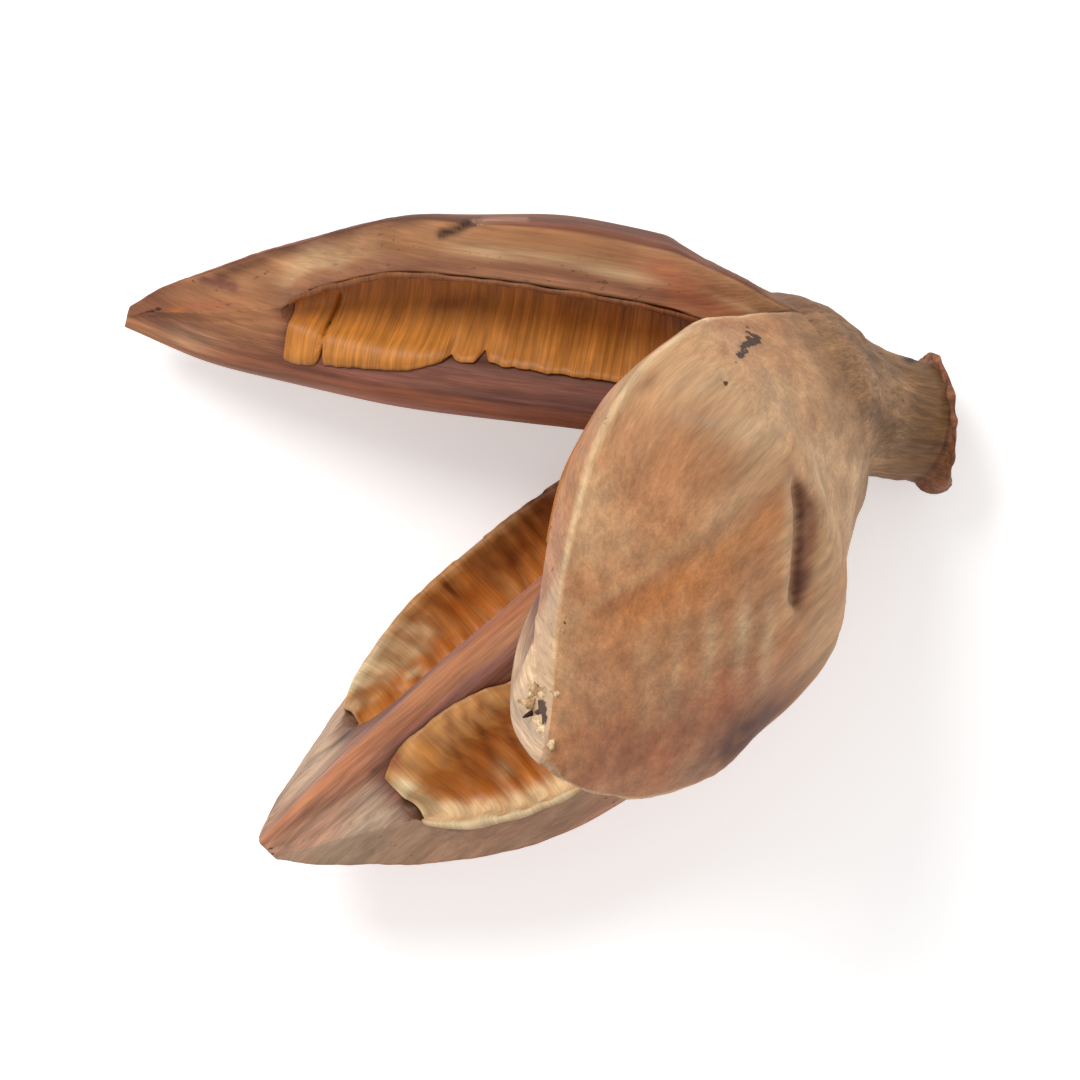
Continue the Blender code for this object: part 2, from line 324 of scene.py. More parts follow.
def closed_frame(around):
    axis = direction(POD_HEADING, POD_RISE)
    up = unit(np.array([0, 0, 1.0]) - axis[2] * axis)
    side = np.cross(axis, up)
    outward = -math.cos(POD_ROLL) * up - math.sin(POD_ROLL) * side
    outward = turn(axis * math.radians(around)) @ outward
    return np.stack([outward, np.cross(axis, outward), axis], axis=1)


def valve_spine(valve):
    closed = closed_frame(valve["around"])
    frames = np.empty((SPINE_STEPS + 1, 3, 3))
    for k, s in enumerate(np.linspace(0, 1, SPINE_STEPS + 1)):
        opened = math.radians(valve["opened"]) * smooth(s / OPENING_ENDS)
        settled = smooth(s / LEANING_ENDS)
        leaned = math.radians(valve["leaned"]) * settled
        twisted = math.radians(valve["twisted"]) * settled
        start = closed @ turn([leaned, opened, twisted])
        late = (s - 0.5) * smooth(s / CURL_STARTS)
        curl = turn(start[:, 1] * math.radians(valve["curled"]) * late)
        sweep = turn(start[:, 0] * math.radians(valve["swept"]) * late)
        frames[k] = sweep @ curl @ start
    steps = frames[:, :, 2] * valve["length"] / SPINE_STEPS
    places = np.zeros((SPINE_STEPS + 1, 3))
    places[1:] = np.cumsum((steps[1:] + steps[:-1]) / 2, axis=0)
    return places + closed[:, 0] * HINGE_DEPTH, frames


for name, valve in VALVES.items():
    tip = valve_spine(valve)[0][-1] / MM
    print(name, "valve's tip, from the hinge in mm:", tip.round(1))

# %% [markdown]
# ## Rows of points
#
# Each section is carried out to its station on the spine. A second copy of every point
# stays where it lay in the closed pod. Nothing is bent there, so patterns that are laid
# out in it run with the fibres, however far the valve has curled since.

# %% Rows of points along a valve
VALVE_STATIONS = 200


def carry(spine, s, section):
    """Move one flat section out to station s of a spine."""
    places, frames = spine
    k = min(int(s * SPINE_STEPS), SPINE_STEPS - 1)
    part = s * SPINE_STEPS - k
    place = places[k] * (1 - part) + places[k + 1] * part
    basis = frames[k] * (1 - part) + frames[k + 1] * part
    out = np.outer(section[:, 0] - HINGE_DEPTH, basis[:, 0])
    return place + out + np.outer(section[:, 1], basis[:, 1])


def grown(s, valve, section):
    """Where the section's points lay in the closed pod, in millimetres."""
    angle = math.radians(valve["around"])
    x = section[:, 0] * math.cos(angle) - section[:, 1] * math.sin(angle)
    y = section[:, 0] * math.sin(angle) + section[:, 1] * math.cos(angle)
    z = np.full(len(section), s * valve["length"])
    return np.stack([x, y, z], axis=1) / MM


def valve_grids(valve):
    """Rows of points along a valve, now and as they were in the closed pod."""
    spine = valve_spine(valve)
    now, then = [], []
    for s in np.linspace(0, 1, VALVE_STATIONS + 1):
        section = whole_section(s, valve)
        now.append(carry(spine, s, section))
        then.append(grown(s, valve, section))
    return np.array(now), np.array(then)


valve_now, valve_then = {}, {}
for name, valve in VALVES.items():
    valve_now[name], valve_then[name] = valve_grids(valve)
    print(name, "valve grid:", valve_now[name].shape)

# %% [markdown]
# ## The neck and its collar
#
# The stalk end is a short bent neck with a swollen collar, where the pod broke off its
# branch and left a scar. Rings carried along a Bezier curve give it. The first ring is
# the valves' own first row, so the wood runs on without a seam.

# %% Rings of the neck
NECK_STATIONS = 56
NECK_END = np.array([16.0, -1.5, -12.0]) * MM
NECK_END_HEADING = math.radians(9)
NECK_END_DROP = math.radians(8)
NECK_PULL = 4.0 * MM
NECK_RADII = [
    (0.00, 14.1), (0.10, 12.0), (0.24, 9.6), (0.40, 7.9), (0.55, 7.0), (0.70, 6.7),
    (0.80, 6.5), (0.86, 6.7), (0.885, 7.4), (0.94, 7.8), (1.00, 7.3),
]
SCAR_RINGS = [(6.3, 0.15), (5.4, 0.9), (3.6, 0.7), (1.8, 1.0)]
# along the fibres, in mm
NECK_LENGTH = 18.0


def bezier(pulls, t):
    a, b, c, d = pulls
    return (1 - t) ** 3 * a + 3 * (1 - t) ** 2 * t * b + 3 * (1 - t) * t * t * c + t ** 3 * d


def neck_angles():
    angles = []
    for number in range(3):
        first = (2 * number - 1) * WEDGE_ANGLE
        angles.extend(np.linspace(first, first + 2 * WEDGE_ANGLE, 2 * SKIN_STEPS + 1)[:-1])
    return np.array(angles)


def neck_grids():
    start = closed_frame(0)
    heading = direction(NECK_END_HEADING, -NECK_END_DROP)
    pulls = [np.zeros(3), -start[:, 2] * NECK_PULL, NECK_END - heading * NECK_PULL, NECK_END]
    rings = [(t, read_curve(NECK_RADII, t), 0.0) for t in np.linspace(0, 1, NECK_STATIONS + 1)[1:]]
    rings += [(1.0, radius, sunk) for radius, sunk in SCAR_RINGS]
    angles = neck_angles()
    outward = start[:, 0]
    now, then = [], []
    for t, radius, sunk in rings:
        tangent = unit(bezier(pulls, min(t + 0.01, 1.0)) - bezier(pulls, min(t, 0.99)))
        outward = unit(outward - tangent * (outward @ tangent))
        sideways = np.cross(-tangent, outward)
        centre = bezier(pulls, t) - tangent * sunk * MM
        ring = np.outer(np.cos(angles), outward) + np.outer(np.sin(angles), sideways)
        now.append(centre + ring * radius * MM)
        down = np.full(len(angles), -NECK_LENGTH * t)
        then.append(np.stack([radius * np.cos(angles), radius * np.sin(angles), down], axis=1))
    return np.array(now), np.array(then)


def first_ring(grids):
    halves = []
    for name in VALVES:
        row = grids[name][0]
        halves += [row[-SKIN_STEPS:], row[:SKIN_STEPS]]
    return np.concatenate(halves)


neck_now, neck_then = neck_grids()
neck_now = np.concatenate([[first_ring(valve_now)], neck_now])
neck_then = np.concatenate([[first_ring(valve_then)], neck_then])
print("neck grid:", neck_now.shape)

# %% [markdown]
# ## Laying the pod down
#
# The rule draws the pod about its hinge. One small turn lays it on the three spots that
# it rests on, and a shift puts it where the CAD capsule is. The shift is read from the
# frame's own box, so the finer wood can't drift from the solid that it replaces.

# %% Turn and shift to the CAD capsule's place
REST_TURN_X = math.radians(0.58)
REST_TURN_Y = math.radians(0.55)
REST_TURN = turn([REST_TURN_X, 0, 0]) @ turn([0, REST_TURN_Y, 0])
capsule_low, capsule_high = (np.array(corner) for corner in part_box("capsule"))


def turned(points):
    return points @ REST_TURN.T


all_points = np.concatenate([g.reshape(-1, 3) for g in (*valve_now.values(), neck_now)])
all_points = turned(all_points)
low, high = all_points.min(axis=0), all_points.max(axis=0)
SHIFT = (capsule_low + capsule_high) / 2 - (low + high) / 2
SHIFT[2] = capsule_high[2] - high[2]
print("shift in mm:", (SHIFT / MM).round(2))


def laid(points):
    placed = turned(points) + SHIFT
    placed[..., 2] = np.maximum(placed[..., 2], 0.0)
    return placed


# %% [markdown]
# ## Relief of dry wood
#
# Dry husk is never smooth: it has long fibre ridges, wrinkles where it shrank, and
# slow swells. A Displace modifier with a texture would do, but its pattern wouldn't
# follow the fibres. Here each point remembers where it lay in the closed pod, and noise
# stretched along that axis gives ridges that run from neck to tip on every face.

# %% Noise along the fibres, and strokes and spots seen from above
def fibre_noise(then, across, along, seed=0.0):
    scaled = then.reshape(-1, 3) / np.array([across, across, along]) + seed
    values = [noise.noise(Vector(place)) for place in scaled]
    return np.array(values).reshape(then.shape[:-1])


def stroke_weight(points, line, width):
    """1 on a line drawn from above, in millimetres, fading to 0 about a width away."""
    flat = points[..., :2] / MM
    nearest = np.full(flat.shape[:-1], 1e9)
    for start, end in zip(line[:-1], line[1:]):
        start, end = np.array(start, float), np.array(end, float)
        along = (flat - start) @ (end - start) / ((end - start) @ (end - start))
        foot = start + np.clip(along, 0, 1)[..., None] * (end - start)
        nearest = np.minimum(nearest, np.linalg.norm(flat - foot, axis=-1))
    return np.exp(-((nearest / width) ** 2))


def spot_weight(points, x, y, half_length, half_width, degrees):
    """1 in the middle of an ellipse seen from above, fading to 0 outside it."""
    angle = math.radians(degrees)
    away = points[..., :2] / MM - np.array([x, y])
    long = away[..., 0] * math.cos(angle) + away[..., 1] * math.sin(angle)
    wide = away[..., 1] * math.cos(angle) - away[..., 0] * math.sin(angle)
    return np.exp(-((long / half_length) ** 2) - (wide / half_width) ** 2)


# %% [markdown]
# ## Worn corners, ridges and dents
#
# The corners of the section are eased first, because no torn edge of wood is sharp.
# Then every zone gets its own layers of ridges. The deep dent and the long fold on the
# front valve, and the crack in the upper one, are strokes drawn from above.

# %% Layers of ridges, and lines of dents and folds
# zone: depth of the ridges in mm, then their span across and along the fibres
RELIEF = {
    "skin": [(0.16, 3.0, 34), (0.09, 1.0, 18), (0.30, 13, 20), (0.05, 0.5, 6)],
    "cut": [(0.12, 1.0, 10), (0.16, 3.0, 8)],
    "hollow": [(0.10, 2.5, 10)],
    "flank": [(0.20, 1.3, 24), (0.12, 3.0, 14)],
    "crest": [(0.14, 1.2, 26), (0.15, 4.0, 14)],
}
FRONT_DENT = [(28.9, 6.2), (29.4, 3.4), (29.3, 0.2), (29.0, -3.4), (28.8, -7.2)]
DENT_SLOPE = [(29.4, 5.6), (30.6, 3.6), (30.7, 0.6), (30.0, -3.0), (29.4, -6.6)]
DENT_RIDGE = [(28.0, 6.4), (28.2, 3.2), (28.0, -1.0), (27.6, -7.0)]
FRONT_FOLD = [(27.4, 6.8), (21.0, 3.0), (15.7, -0.8), (11.5, -4.2), (5.7, -7.2), (2.4, -9.8)]
FOLD_SHADE = [(27.4, 5.9), (21.2, 2.0), (16.0, -1.8), (11.8, -5.2), (6.0, -8.2)]
FOLD_VALLEY = [(25.6, 2.6), (19.6, -1.6), (13.6, -6.0), (10.5, -8.6)]
UPPER_CRACK = [(-11.2, 34.8), (-9.4, 35.3), (-8.2, 36.0), (-7.0, 36.6)]
# valve, zones, and strokes: line, width and height in mm
STROKES = [
    ("front", "skin", [
        (FRONT_DENT, 0.65, -1.1), (DENT_SLOPE, 1.3, -0.9), (DENT_RIDGE, 0.9, 0.35),
        (FRONT_FOLD, 1.6, 0.38), (FOLD_VALLEY, 2.0, -0.50),
    ]),
    ("upper", "skin cut", [(UPPER_CRACK, 0.45, -0.6)]),
]
print("strokes of relief:", sum(len(rows) for *_, rows in STROKES))

# %% Worn corners, and masks of zones and of upper faces
def worn(rows):
    """Round a section's corners by easing each point towards its two neighbours."""
    for _ in range(3):
        middle = (np.roll(rows, 1, axis=1) + np.roll(rows, -1, axis=1)) / 2
        rows = rows + (middle - rows) * 0.5
    return rows


def outward_normals(rows, closed_loop=True):
    if closed_loop:
        wide = np.concatenate([rows[:, -1:], rows, rows[:, :1]], axis=1)
        across = (wide[:, 2:] - wide[:, :-2]) / 2
    else:
        across = np.gradient(rows, axis=1)
    normals = np.cross(across, np.gradient(rows, axis=0))
    return normals / (np.linalg.norm(normals, axis=-1, keepdims=True) + 1e-12)


def on_zones(names):
    return np.isin(POINT_ZONES, names.split())[None, :]


def rows_for(name, table):
    """The rows that a table holds for one valve, each with its zones' mask."""
    return [(on_zones(z), row) for valve, z, rows in table if valve == name for row in rows]


def seen_from_above(rows):
    """1 on faces turned up, 0 on faces turned down, so that a stroke can't go through."""
    return smooth(turned(outward_normals(rows))[..., 2] / 0.3 + 0.3)


print("points of a section on the crest:", int(on_zones("crest").sum()))

# %% Rough valves
WANDER = 0.35 * MM
WANDER_SPAN = 12.0 * MM
# seeded, so that the slow noise comes out the same in every run
WANDER_SEED = 5
noise.seed_set(WANDER_SEED)


def relief_of(name, now, then):
    height = np.zeros(now.shape[:2])
    for zone, layers in RELIEF.items():
        columns = np.where(POINT_ZONES == zone)[0]
        for number, (depth, across, along) in enumerate(layers):
            ridges = fibre_noise(then[:, columns], across, along, 7.3 * number)
            height[:, columns] += depth * ridges
    seen, visible = laid(now), seen_from_above(now)
    for zones, (line, width, rise) in rows_for(name, STROKES):
        height += rise * stroke_weight(seen, line, width) * visible * zones
    return height * MM


def wandered(points):
    """Shift points by a slow noise, so that no edge is a perfect curve."""
    flat = points.reshape(-1, 3) / WANDER_SPAN
    moves = [noise.noise_vector(Vector(place)) for place in flat]
    return points + np.array(moves).reshape(points.shape) * WANDER


def roughened(name):
    now, then = valve_now[name], valve_then[name]
    free = smooth(np.linspace(0, 1, len(now)) / 0.05)[:, None, None]
    now = now + (worn(now) - now) * free
    height = relief_of(name, now, then)[..., None]
    return wandered(now + outward_normals(now) * height * free)


rough_valves = {name: roughened(name) for name in VALVES}
print("deepest move in mm:", round(max(
    np.linalg.norm(rough_valves[n] - valve_now[n], axis=-1).max() for n in VALVES) / MM, 2))

# %% [markdown]
# ## Relief of the neck
#
# The neck is coarse and fibrous, and the collar's lip is broken and uneven.

# %% Rough neck rings
def roughened_neck():
    rows = np.arange(len(neck_now)) / (len(neck_now) - 1)
    free = smooth(rows / 0.08)[:, None]
    height = 0.30 * fibre_noise(neck_then, 1.6, 9) + 0.35 * fibre_noise(neck_then, 4.5, 9, 3.1)
    height = height + 0.10 * fibre_noise(neck_then, 5.0, 0.9, 8.2)
    lip = np.exp(-(((rows - 0.90) / 0.06) ** 2))[:, None]
    height = height + lip * 0.7 * fibre_noise(neck_then, 2.2, 3, 5.5)
    normals = -outward_normals(neck_now)
    return wandered(neck_now + normals * (height * free)[..., None] * MM)


rough_neck = roughened_neck()
print("rough neck rings:", len(rough_neck))

# %% [markdown]
# ## Painting the wood
#
# The colour of a dry husk wanders: pale where the skin has worn, orange where the inner wood shows
# through. The dark browns in the seed hollows, and the dark purplish browns on the septum's flanks
# and along the front valve's lower edge, are painted shade, darkened where shade falls. A painter
# would put these on by hand with a vertex brush. Here every zone of every valve first gets a tone
# that drifts between two colours, then soft spots and strokes seen from above are laid over it,
# each with a colour and a strength; some of these are painted shade. The result is kept on the
# points as a colour attribute, and its alpha holds the dark marks. The fine pattern is the
# material's own.

# %% Colours as a colour picker gives them
def from_bytes(red, green, blue):
    """A colour given as on a colour picker, 0 to 255, made linear for the shader."""
    values = np.array([red, green, blue]) / 255
    return np.where(values <= 0.04045, values / 12.92, ((values + 0.055) / 1.055) ** 2.4)


SAND = from_bytes(190, 149, 108)
PALE = from_bytes(202, 165, 126)
CREAM = from_bytes(219, 186, 142)
ASH = from_bytes(181, 154, 129)
DUST = from_bytes(159, 126, 99)
CLAY = from_bytes(177, 120, 78)
ORANGE = from_bytes(190, 117, 57)
SALMON = from_bytes(190, 124, 86)
ROSE = from_bytes(178, 128, 102)
RUST = from_bytes(158, 88, 56)
BARK = from_bytes(122, 72, 50)
PLUM = from_bytes(114, 64, 52)
COCOA = from_bytes(90, 50, 32)
DARK = from_bytes(50, 29, 19)
MOSS = from_bytes(92, 72, 44)
OLIVE = from_bytes(118, 85, 52)
TAN = from_bytes(138, 98, 64)
HAZEL = from_bytes(150, 100, 62)
MAUVE = from_bytes(150, 98, 84)
# the brown of the upper valve's rim wall where it lies in shade: painted shade
RIM_WALL_SHADE = from_bytes(160, 108, 76)
print("a wood colour in linear light:", SAND.round(3))

# %% Tones of the zones, each drifting between two colours
# the seed hollow's wall and the septum's flank get dark tones: painted shade, where shade falls in
# the hollow and on the flank
SHADED = {"hollow": (COCOA, BARK), "flank": (PLUM, BARK)}
TONES = {
    "upper": {"skin": (BARK, RUST), "cut": (HAZEL, SAND), "crest": (BARK, RUST), **SHADED},
    "lower": {"skin": (RUST, CLAY), "cut": (DUST, ROSE), "crest": (RUST, CLAY), **SHADED},
    "front": {"skin": (CLAY, SAND), "cut": (ROSE, SAND), "crest": (SALMON, CLAY), **SHADED},
}
BEAK_TONES = {"upper": (BARK, CLAY), "lower": (ASH, ROSE), "front": (ASH, PALE)}
print("zones with tones:", list(TONES["front"]))

# %% [markdown]
# ## Spots and strokes of colour
#
# These are the marks of this one pod, and with them some painted shade: the shaded wall of the
# upper valve's rim, the front valve's dark lower edge, the steep wall of its dent and the shadow
# among its torn scraps. Each is placed on the picture's own plane, in millimetres from its middle,
# and lands on the topmost faces of the zones that it names.

# %% Spots of colour
# valve, zones, and spots: middle x, y and half sizes in mm, turn in degrees, colour, strength
SPOTS = [
    ("front", "skin", [
        (23.5, 15.5, 8.5, 7.0, -10, SAND, 0.80), (15.0, -9.0, 9.0, 8.0, 20, CLAY, 0.55),
        (17.0, -20.0, 12.0, 5.0, 25, RUST, 0.40), (15.0, 15.0, 4.0, 6.0, -20, SAND, 0.55),
        (23.4, 12.6, 4.2, 2.8, 0, PALE, 0.85), (19.0, 18.0, 4.0, 2.0, 20, PALE, 0.50),
        (15.0, 8.8, 2.6, 1.1, -40, CREAM, 0.75), (33.0, 8.0, 4.0, 5.0, -10, PALE, 0.70),
        (33.0, -2.0, 2.0, 8.0, -5, SAND, 0.75), (31.5, -10.0, 2.4, 4.0, -20, SAND, 0.50),
        (9.5, 0.5, 1.2, 3.4, -10, PALE, 0.70), (16.5, 9.0, 3.5, 5.5, 20, CLAY, 0.45),
        (9.0, 4.0, 2.4, 8.0, -15, CLAY, 0.50), (19.5, -4.4, 7.5, 2.1, 38, ORANGE, 0.85),
        (24.3, -1.2, 1.5, 1.0, 20, ORANGE, 0.60), (10.0, -6.5, 7.0, 3.0, 33, ORANGE, 0.60),
        # the plum spot along the front valve's lower right edge is painted shade
        (21.8, -16.2, 2.8, 4.2, -20, RUST, 0.85), (22.0, -22.6, 6.0, 2.0, 38, PLUM, 0.75),
        (10.0, -26.0, 9.0, 5.0, 14, RUST, 0.55), (8.0, -17.0, 8.0, 7.0, 0, CLAY, 0.35),
        (22.8, -9.5, 1.0, 6.5, -4, PALE, 0.80), (19.2, -10.5, 0.8, 5.5, -4, PALE, 0.60),
        (25.6, -11.0, 0.8, 5.5, -6, PALE, 0.65), (15.4, -13.5, 0.9, 6.5, -8, SAND, 0.60),
        (12.0, -18.0, 0.7, 5.0, -8, SAND, 0.35), (19.0, 13.2, 1.4, 0.6, -10, ASH, 0.65),
        (16.4, 13.5, 1.2, 1.0, 20, ASH, 0.55), (12.2, 18.0, 1.5, 0.7, 50, COCOA, 0.45),
        (22.0, -4.0, 6.0, 3.4, 35, CLAY, 0.70), (12.0, 2.0, 3.0, 7.0, -25, CLAY, 0.50),
        (6.6, -19.0, 2.0, 6.0, 5, RUST, 0.35), (16.0, -21.0, 6.0, 3.0, 30, RUST, 0.40),
        # the cocoa spot along the front valve's lower right edge is painted shade
        (15.5, 8.5, 5.0, 5.0, 10, CLAY, 1.0), (24.0, -21.6, 7.5, 2.4, 40, COCOA, 0.95),
    ]),
    ("front", "cut", [(3.0, 8.0, 2.6, 9.0, -10, CLAY, 0.85)]),
    ("front", "cut hollow flank crest", [(-3.6, -14.5, 3.0, 7.0, 0, PALE, 0.90)]),
    ("upper", "skin", [
        (-20.0, 34.0, 20.0, 6.0, 8, COCOA, 0.85), (18.0, 34.0, 14.0, 6.0, -25, COCOA, 0.75),
    ]),
    ("upper", "cut", [
        (2.0, 35.0, 12.0, 2.0, -4, ORANGE, 0.35), (-40.0, 26.6, 5.0, 0.7, 4, RUST, 0.60),
        (-41.5, 26.2, 0.8, 0.5, 0, ORANGE, 0.80), (-15.0, 34.5, 7.0, 2.0, 0, CLAY, 0.45),
        (2.0, 33.8, 12.0, 1.9, -5, HAZEL, 0.85), (16.0, 29.0, 6.0, 2.4, -24, RUST, 0.90),
    ]),
    ("upper", "cut hollow flank", [
        (-39.9, 22.7, 4.0, 1.4, -15, PALE, 0.50), (-33.0, 21.0, 8.0, 1.2, -14, RUST, 0.35),
    ]),
    ("upper", "cut hollow flank crest", [(-34.0, 20.2, 9.0, 1.6, -14, BARK, 0.45)]),
    ("lower", "cut hollow flank", [(-26.0, -24.5, 2.4, 8.0, -28, ASH, 0.85)]),
    ("lower", "crest flank", [
        (-27.5, -30.8, 8.0, 1.5, 40, SALMON, 0.85), (-20.0, -26.0, 4.0, 1.2, 42, SALMON, 0.70),
    ]),
    ("lower", "cut", [
        (-23.0, -34.0, 9.0, 3.5, 15, ASH, 0.70), (-12.0, -34.0, 9.0, 3.0, 5, DUST, 0.50),
    ]),
    ("lower", "cut skin", [(-31.1, -33.5, 0.9, 0.5, 50, CREAM, 0.90)]),
    ("lower", "cut hollow flank", [
        (-22.3, -22.4, 1.5, 0.3, 42, DARK, 0.85), (-18.9, -26.3, 1.0, 0.3, 42, DARK, 0.70),
    ]),
]
print("spots:", sum(len(rows) for *_, rows in SPOTS))

# %% Strokes of colour and small dark marks
# the brown band along the upper cut face, the rim's wall in shade: painted shade
UPPER_RIM_SHADE = [
    (-29.3, 25.6), (-26.0, 28.8), (-20.0, 30.5), (-12.0, 31.1), (-4.0, 30.9), (4.0, 30.2),
    (14.0, 27.8),
]
UPPER_EDGE = [
    (-36.5, 30.2), (-30.0, 32.9), (-20.0, 35.7), (-12.0, 37.0), (-4.0, 37.4), (6.0, 36.8),
    (14.0, 34.8),
]
# valve, zones, and strokes: line, width in mm, colour, strength
LINES = [
    ("front", "skin", [
        # the cocoa along the dent's steep left wall is painted shade over the real dent
        (DENT_SLOPE, 0.95, BARK, 0.75), (FRONT_DENT, 0.7, COCOA, 0.95),
        (DENT_RIDGE, 0.5, PALE, 0.60), (FRONT_FOLD, 0.9, SAND, 0.45), (FOLD_SHADE, 0.6, RUST, 0.35),
        (FOLD_VALLEY, 1.2, ORANGE, 0.50),
        ([(36.0, 9.0), (35.7, 4.0), (35.0, -2.0)], 0.5, PALE, 0.50),
    ]),
    # the bark band along the upper cut face is the rim's wall in shade: painted shade
    ("upper", "cut", [(UPPER_RIM_SHADE, 0.8, BARK, 0.55)]),
    ("upper", "skin cut", [
        (UPPER_EDGE, 0.9, COCOA, 0.75), (UPPER_CRACK, 0.5, DARK, 1.0),
        ([(-7.6, 36.3), (-4.0, 36.5), (-1.6, 36.5)], 0.30, ROSE, 0.70),
        ([(-38.5, 29.8), (-35.0, 29.0)], 0.6, PLUM, 0.85),
    ]),
]
# valve, zones, and small dark marks: line, width in mm, strength
MARKS = [
    ("front", "skin", [
        ([(24.6, 22.8), (23.6, 22.2), (22.5, 21.0)], 0.6, 1.0),
        ([(23.5, 24.2), (23.5, 23.0)], 0.3, 0.8), ([(22.3, 19.8), (21.9, 19.3)], 0.5, 0.8),
        ([(20.6, 17.9), (20.9, 17.6)], 0.5, 0.7), ([(2.9, -8.6), (2.4, -10.6)], 0.35, 0.6),
        ([(32.7, 1.7), (32.4, 1.2)], 0.5, 0.4),
    ]),
    # this dark mark among the pale torn scraps is painted shadow
    ("front", "cut", [([(-2.2, -17.6), (-1.0, -18.4), (0.2, -18.2), (0.4, -20.2)], 0.55, 0.9)]),
    ("upper", "cut", [([(-45.5, 25.8), (-43.5, 26.4)], 0.4, 0.6)]),
    ("lower", "cut skin flank", [([(-31.9, -36.4), (-30.6, -35.4)], 0.5, 0.8)]),
]
print("strokes and marks:", sum(len(rows) for *_, rows in LINES + MARKS))

# %% [markdown]
# ## Laying the colours on
#
# The order is a painter's: ground tones, then the lines where one zone meets another,
# then the solid beak, then the spots and strokes on top.

# %% Ground tones and the lines between zones
def mixed(first, second, share):
    return first + (second - first) * np.clip(share, 0, 1)[..., None]


def tones_of(name, drift):
    """The tone of each zone, drifting slowly between its two colours."""
    colour = np.zeros((*drift.shape, 3))
    for zone, (first, second) in TONES[name].items():
        columns = POINT_ZONES == zone
        colour[:, columns] = mixed(first, second, drift[:, columns])
    return colour


def edge_lines(name, colour, seen, flicker):
    """Cut faces change towards the hollow, and the skin's edge is a line of its own. In the upper
    valve the cut face's inner part, the rim's wall, is darkened as painted shade.
    """
    share = POINT_SHARES[None, :]
    cut = on_zones("cut") * 1.0
    edge = on_zones("cut") * (share < 0.13) + on_zones("skin") * (share > 0.97)
    if name == "upper":
        # the inner part of the upper cut face, the rim's wall, is darkened: painted shade
        inner = cut * smooth((share - 0.52 + 0.10 * flicker) / 0.12)
        colour = mixed(colour, RIM_WALL_SHADE, inner * 0.95)
        lip = cut * np.exp(-(((share - 0.50 + 0.08 * flicker) / 0.05) ** 2))
        colour = mixed(colour, CREAM, lip * 0.65 * smooth((seen[..., 0] / MM + 12) / 6))
    if name == "front":
        colour = mixed(colour, CREAM, edge * (0.75 + 0.5 * flicker))
        inner = cut * smooth((share - 0.3) / 0.3)
        colour = mixed(colour, ROSE, inner * 0.6)
    if name == "lower":
        colour = mixed(colour, RUST, on_zones("skin") * (share > 0.9) * 0.5)
        stripe = on_zones("crest") * (1 - smooth((share - 0.10 + 0.2 * flicker) / 0.3))
        stripe = stripe + on_zones("flank") * smooth((share - 0.72 + 0.1 * flicker) / 0.1)
        colour = mixed(colour, MAUVE, stripe * 0.85)
    return colour


print("valves with their own edge lines:", list(VALVES))

# %% Beaks, spots and the finished paint
def beak_tone(name, colour, along, drift, flicker):
    """Past the hollow, all but the crest is plain cut wood."""
    first, second = BEAK_TONES[name]
    past = smooth((along - VALVES[name]["hollow_end"] + 0.02 + 0.03 * flicker) / 0.06)
    share = POINT_SHARES[None, :]
    near_crest = on_zones("flank") * smooth((share - 0.55) / 0.2)
    facet = on_zones("hollow flank") * (1 - 0.8 * near_crest)
    tone = mixed(first, second, drift)
    colour = mixed(colour, tone, past * facet)
    if name != "lower":
        colour = mixed(colour, tone, past * on_zones("cut flank crest") * 0.85)
    return colour


def spotted(name, colour, seen, visible, flicker):
    """Lay the spots and then the strokes over the tones."""
    for table, weight in ((SPOTS, spot_weight), (LINES, stroke_weight)):
        for zones, (*shape, tint, power) in rows_for(name, table):
            share = weight(seen, *shape) * power * (1 + 0.45 * flicker) * visible * zones
            colour = mixed(colour, tint, share)
    return colour


def painted(name, seen, then):
    """Colour of every point of a valve, and the strength of its dark marks."""
    drift = 0.5 + 0.9 * fibre_noise(then, 5, 18, 11.0) + 0.3 * fibre_noise(then, 1.8, 10, 4.2)
    flicker = fibre_noise(then, 1.7, 5, 1.7)
    along = np.linspace(0, 1, len(seen))[:, None]
    colour = edge_lines(name, tones_of(name, drift), seen, flicker)
    near_neck = 0.85 * (1 - smooth(along / 0.10)) * on_zones("skin")
    colour = mixed(colour, mixed(OLIVE, TAN, drift), near_neck)
    colour = beak_tone(name, colour, along, drift, flicker)
    visible = seen_from_above(valve_now[name])
    colour = spotted(name, colour, seen, visible, flicker)
    marks = np.zeros(seen.shape[:2])
    for zones, (line, width, power) in rows_for(name, MARKS):
        weight = power * stroke_weight(seen, line, width) * visible
        marks = np.maximum(marks, weight * zones)
    return np.concatenate([colour, marks[..., None]], axis=-1)


valve_tints = {n: painted(n, laid(rough_valves[n]), valve_then[n]) for n in VALVES}
print("painted points:", {n: tints.shape[:2] for n, tints in valve_tints.items()})

# %% [markdown]
# ## Painting the neck
#
# The neck is a darker olive-brown than the valves. Their skin already takes on its
# colour where they meet, so that no line shows where one grid ends and the next begins.
# The groove under the collar's lip is painted dark, as painted shade, and the collar itself is
# red-brown.

# %% Paint the neck
NECK_SPOTS = [
    (35.0, 17.3, 1.6, 1.0, -40, COCOA, 0.75), (37.5, 14.8, 1.5, 1.2, -50, COCOA, 0.85),
    (32.4, 23.0, 2.6, 0.8, -50, MOSS, 0.75), (30.3, 15.0, 1.6, 1.2, 0, ORANGE, 0.50),
    (38.5, 18.0, 3.0, 1.6, -20, SAND, 0.45), (37.0, 9.0, 3.0, 2.0, 0, SAND, 0.40),
    (41.0, 13.5, 1.6, 3.0, 0, SAND, 0.35), (42.4, 20.6, 0.9, 0.5, 0, DARK, 0.85),
]
NECK_BAND = [(28.7, 26.1), (32.2, 23.4), (34.9, 17.3), (37.6, 14.6)]
COLLAR_GROOVE = 0.83


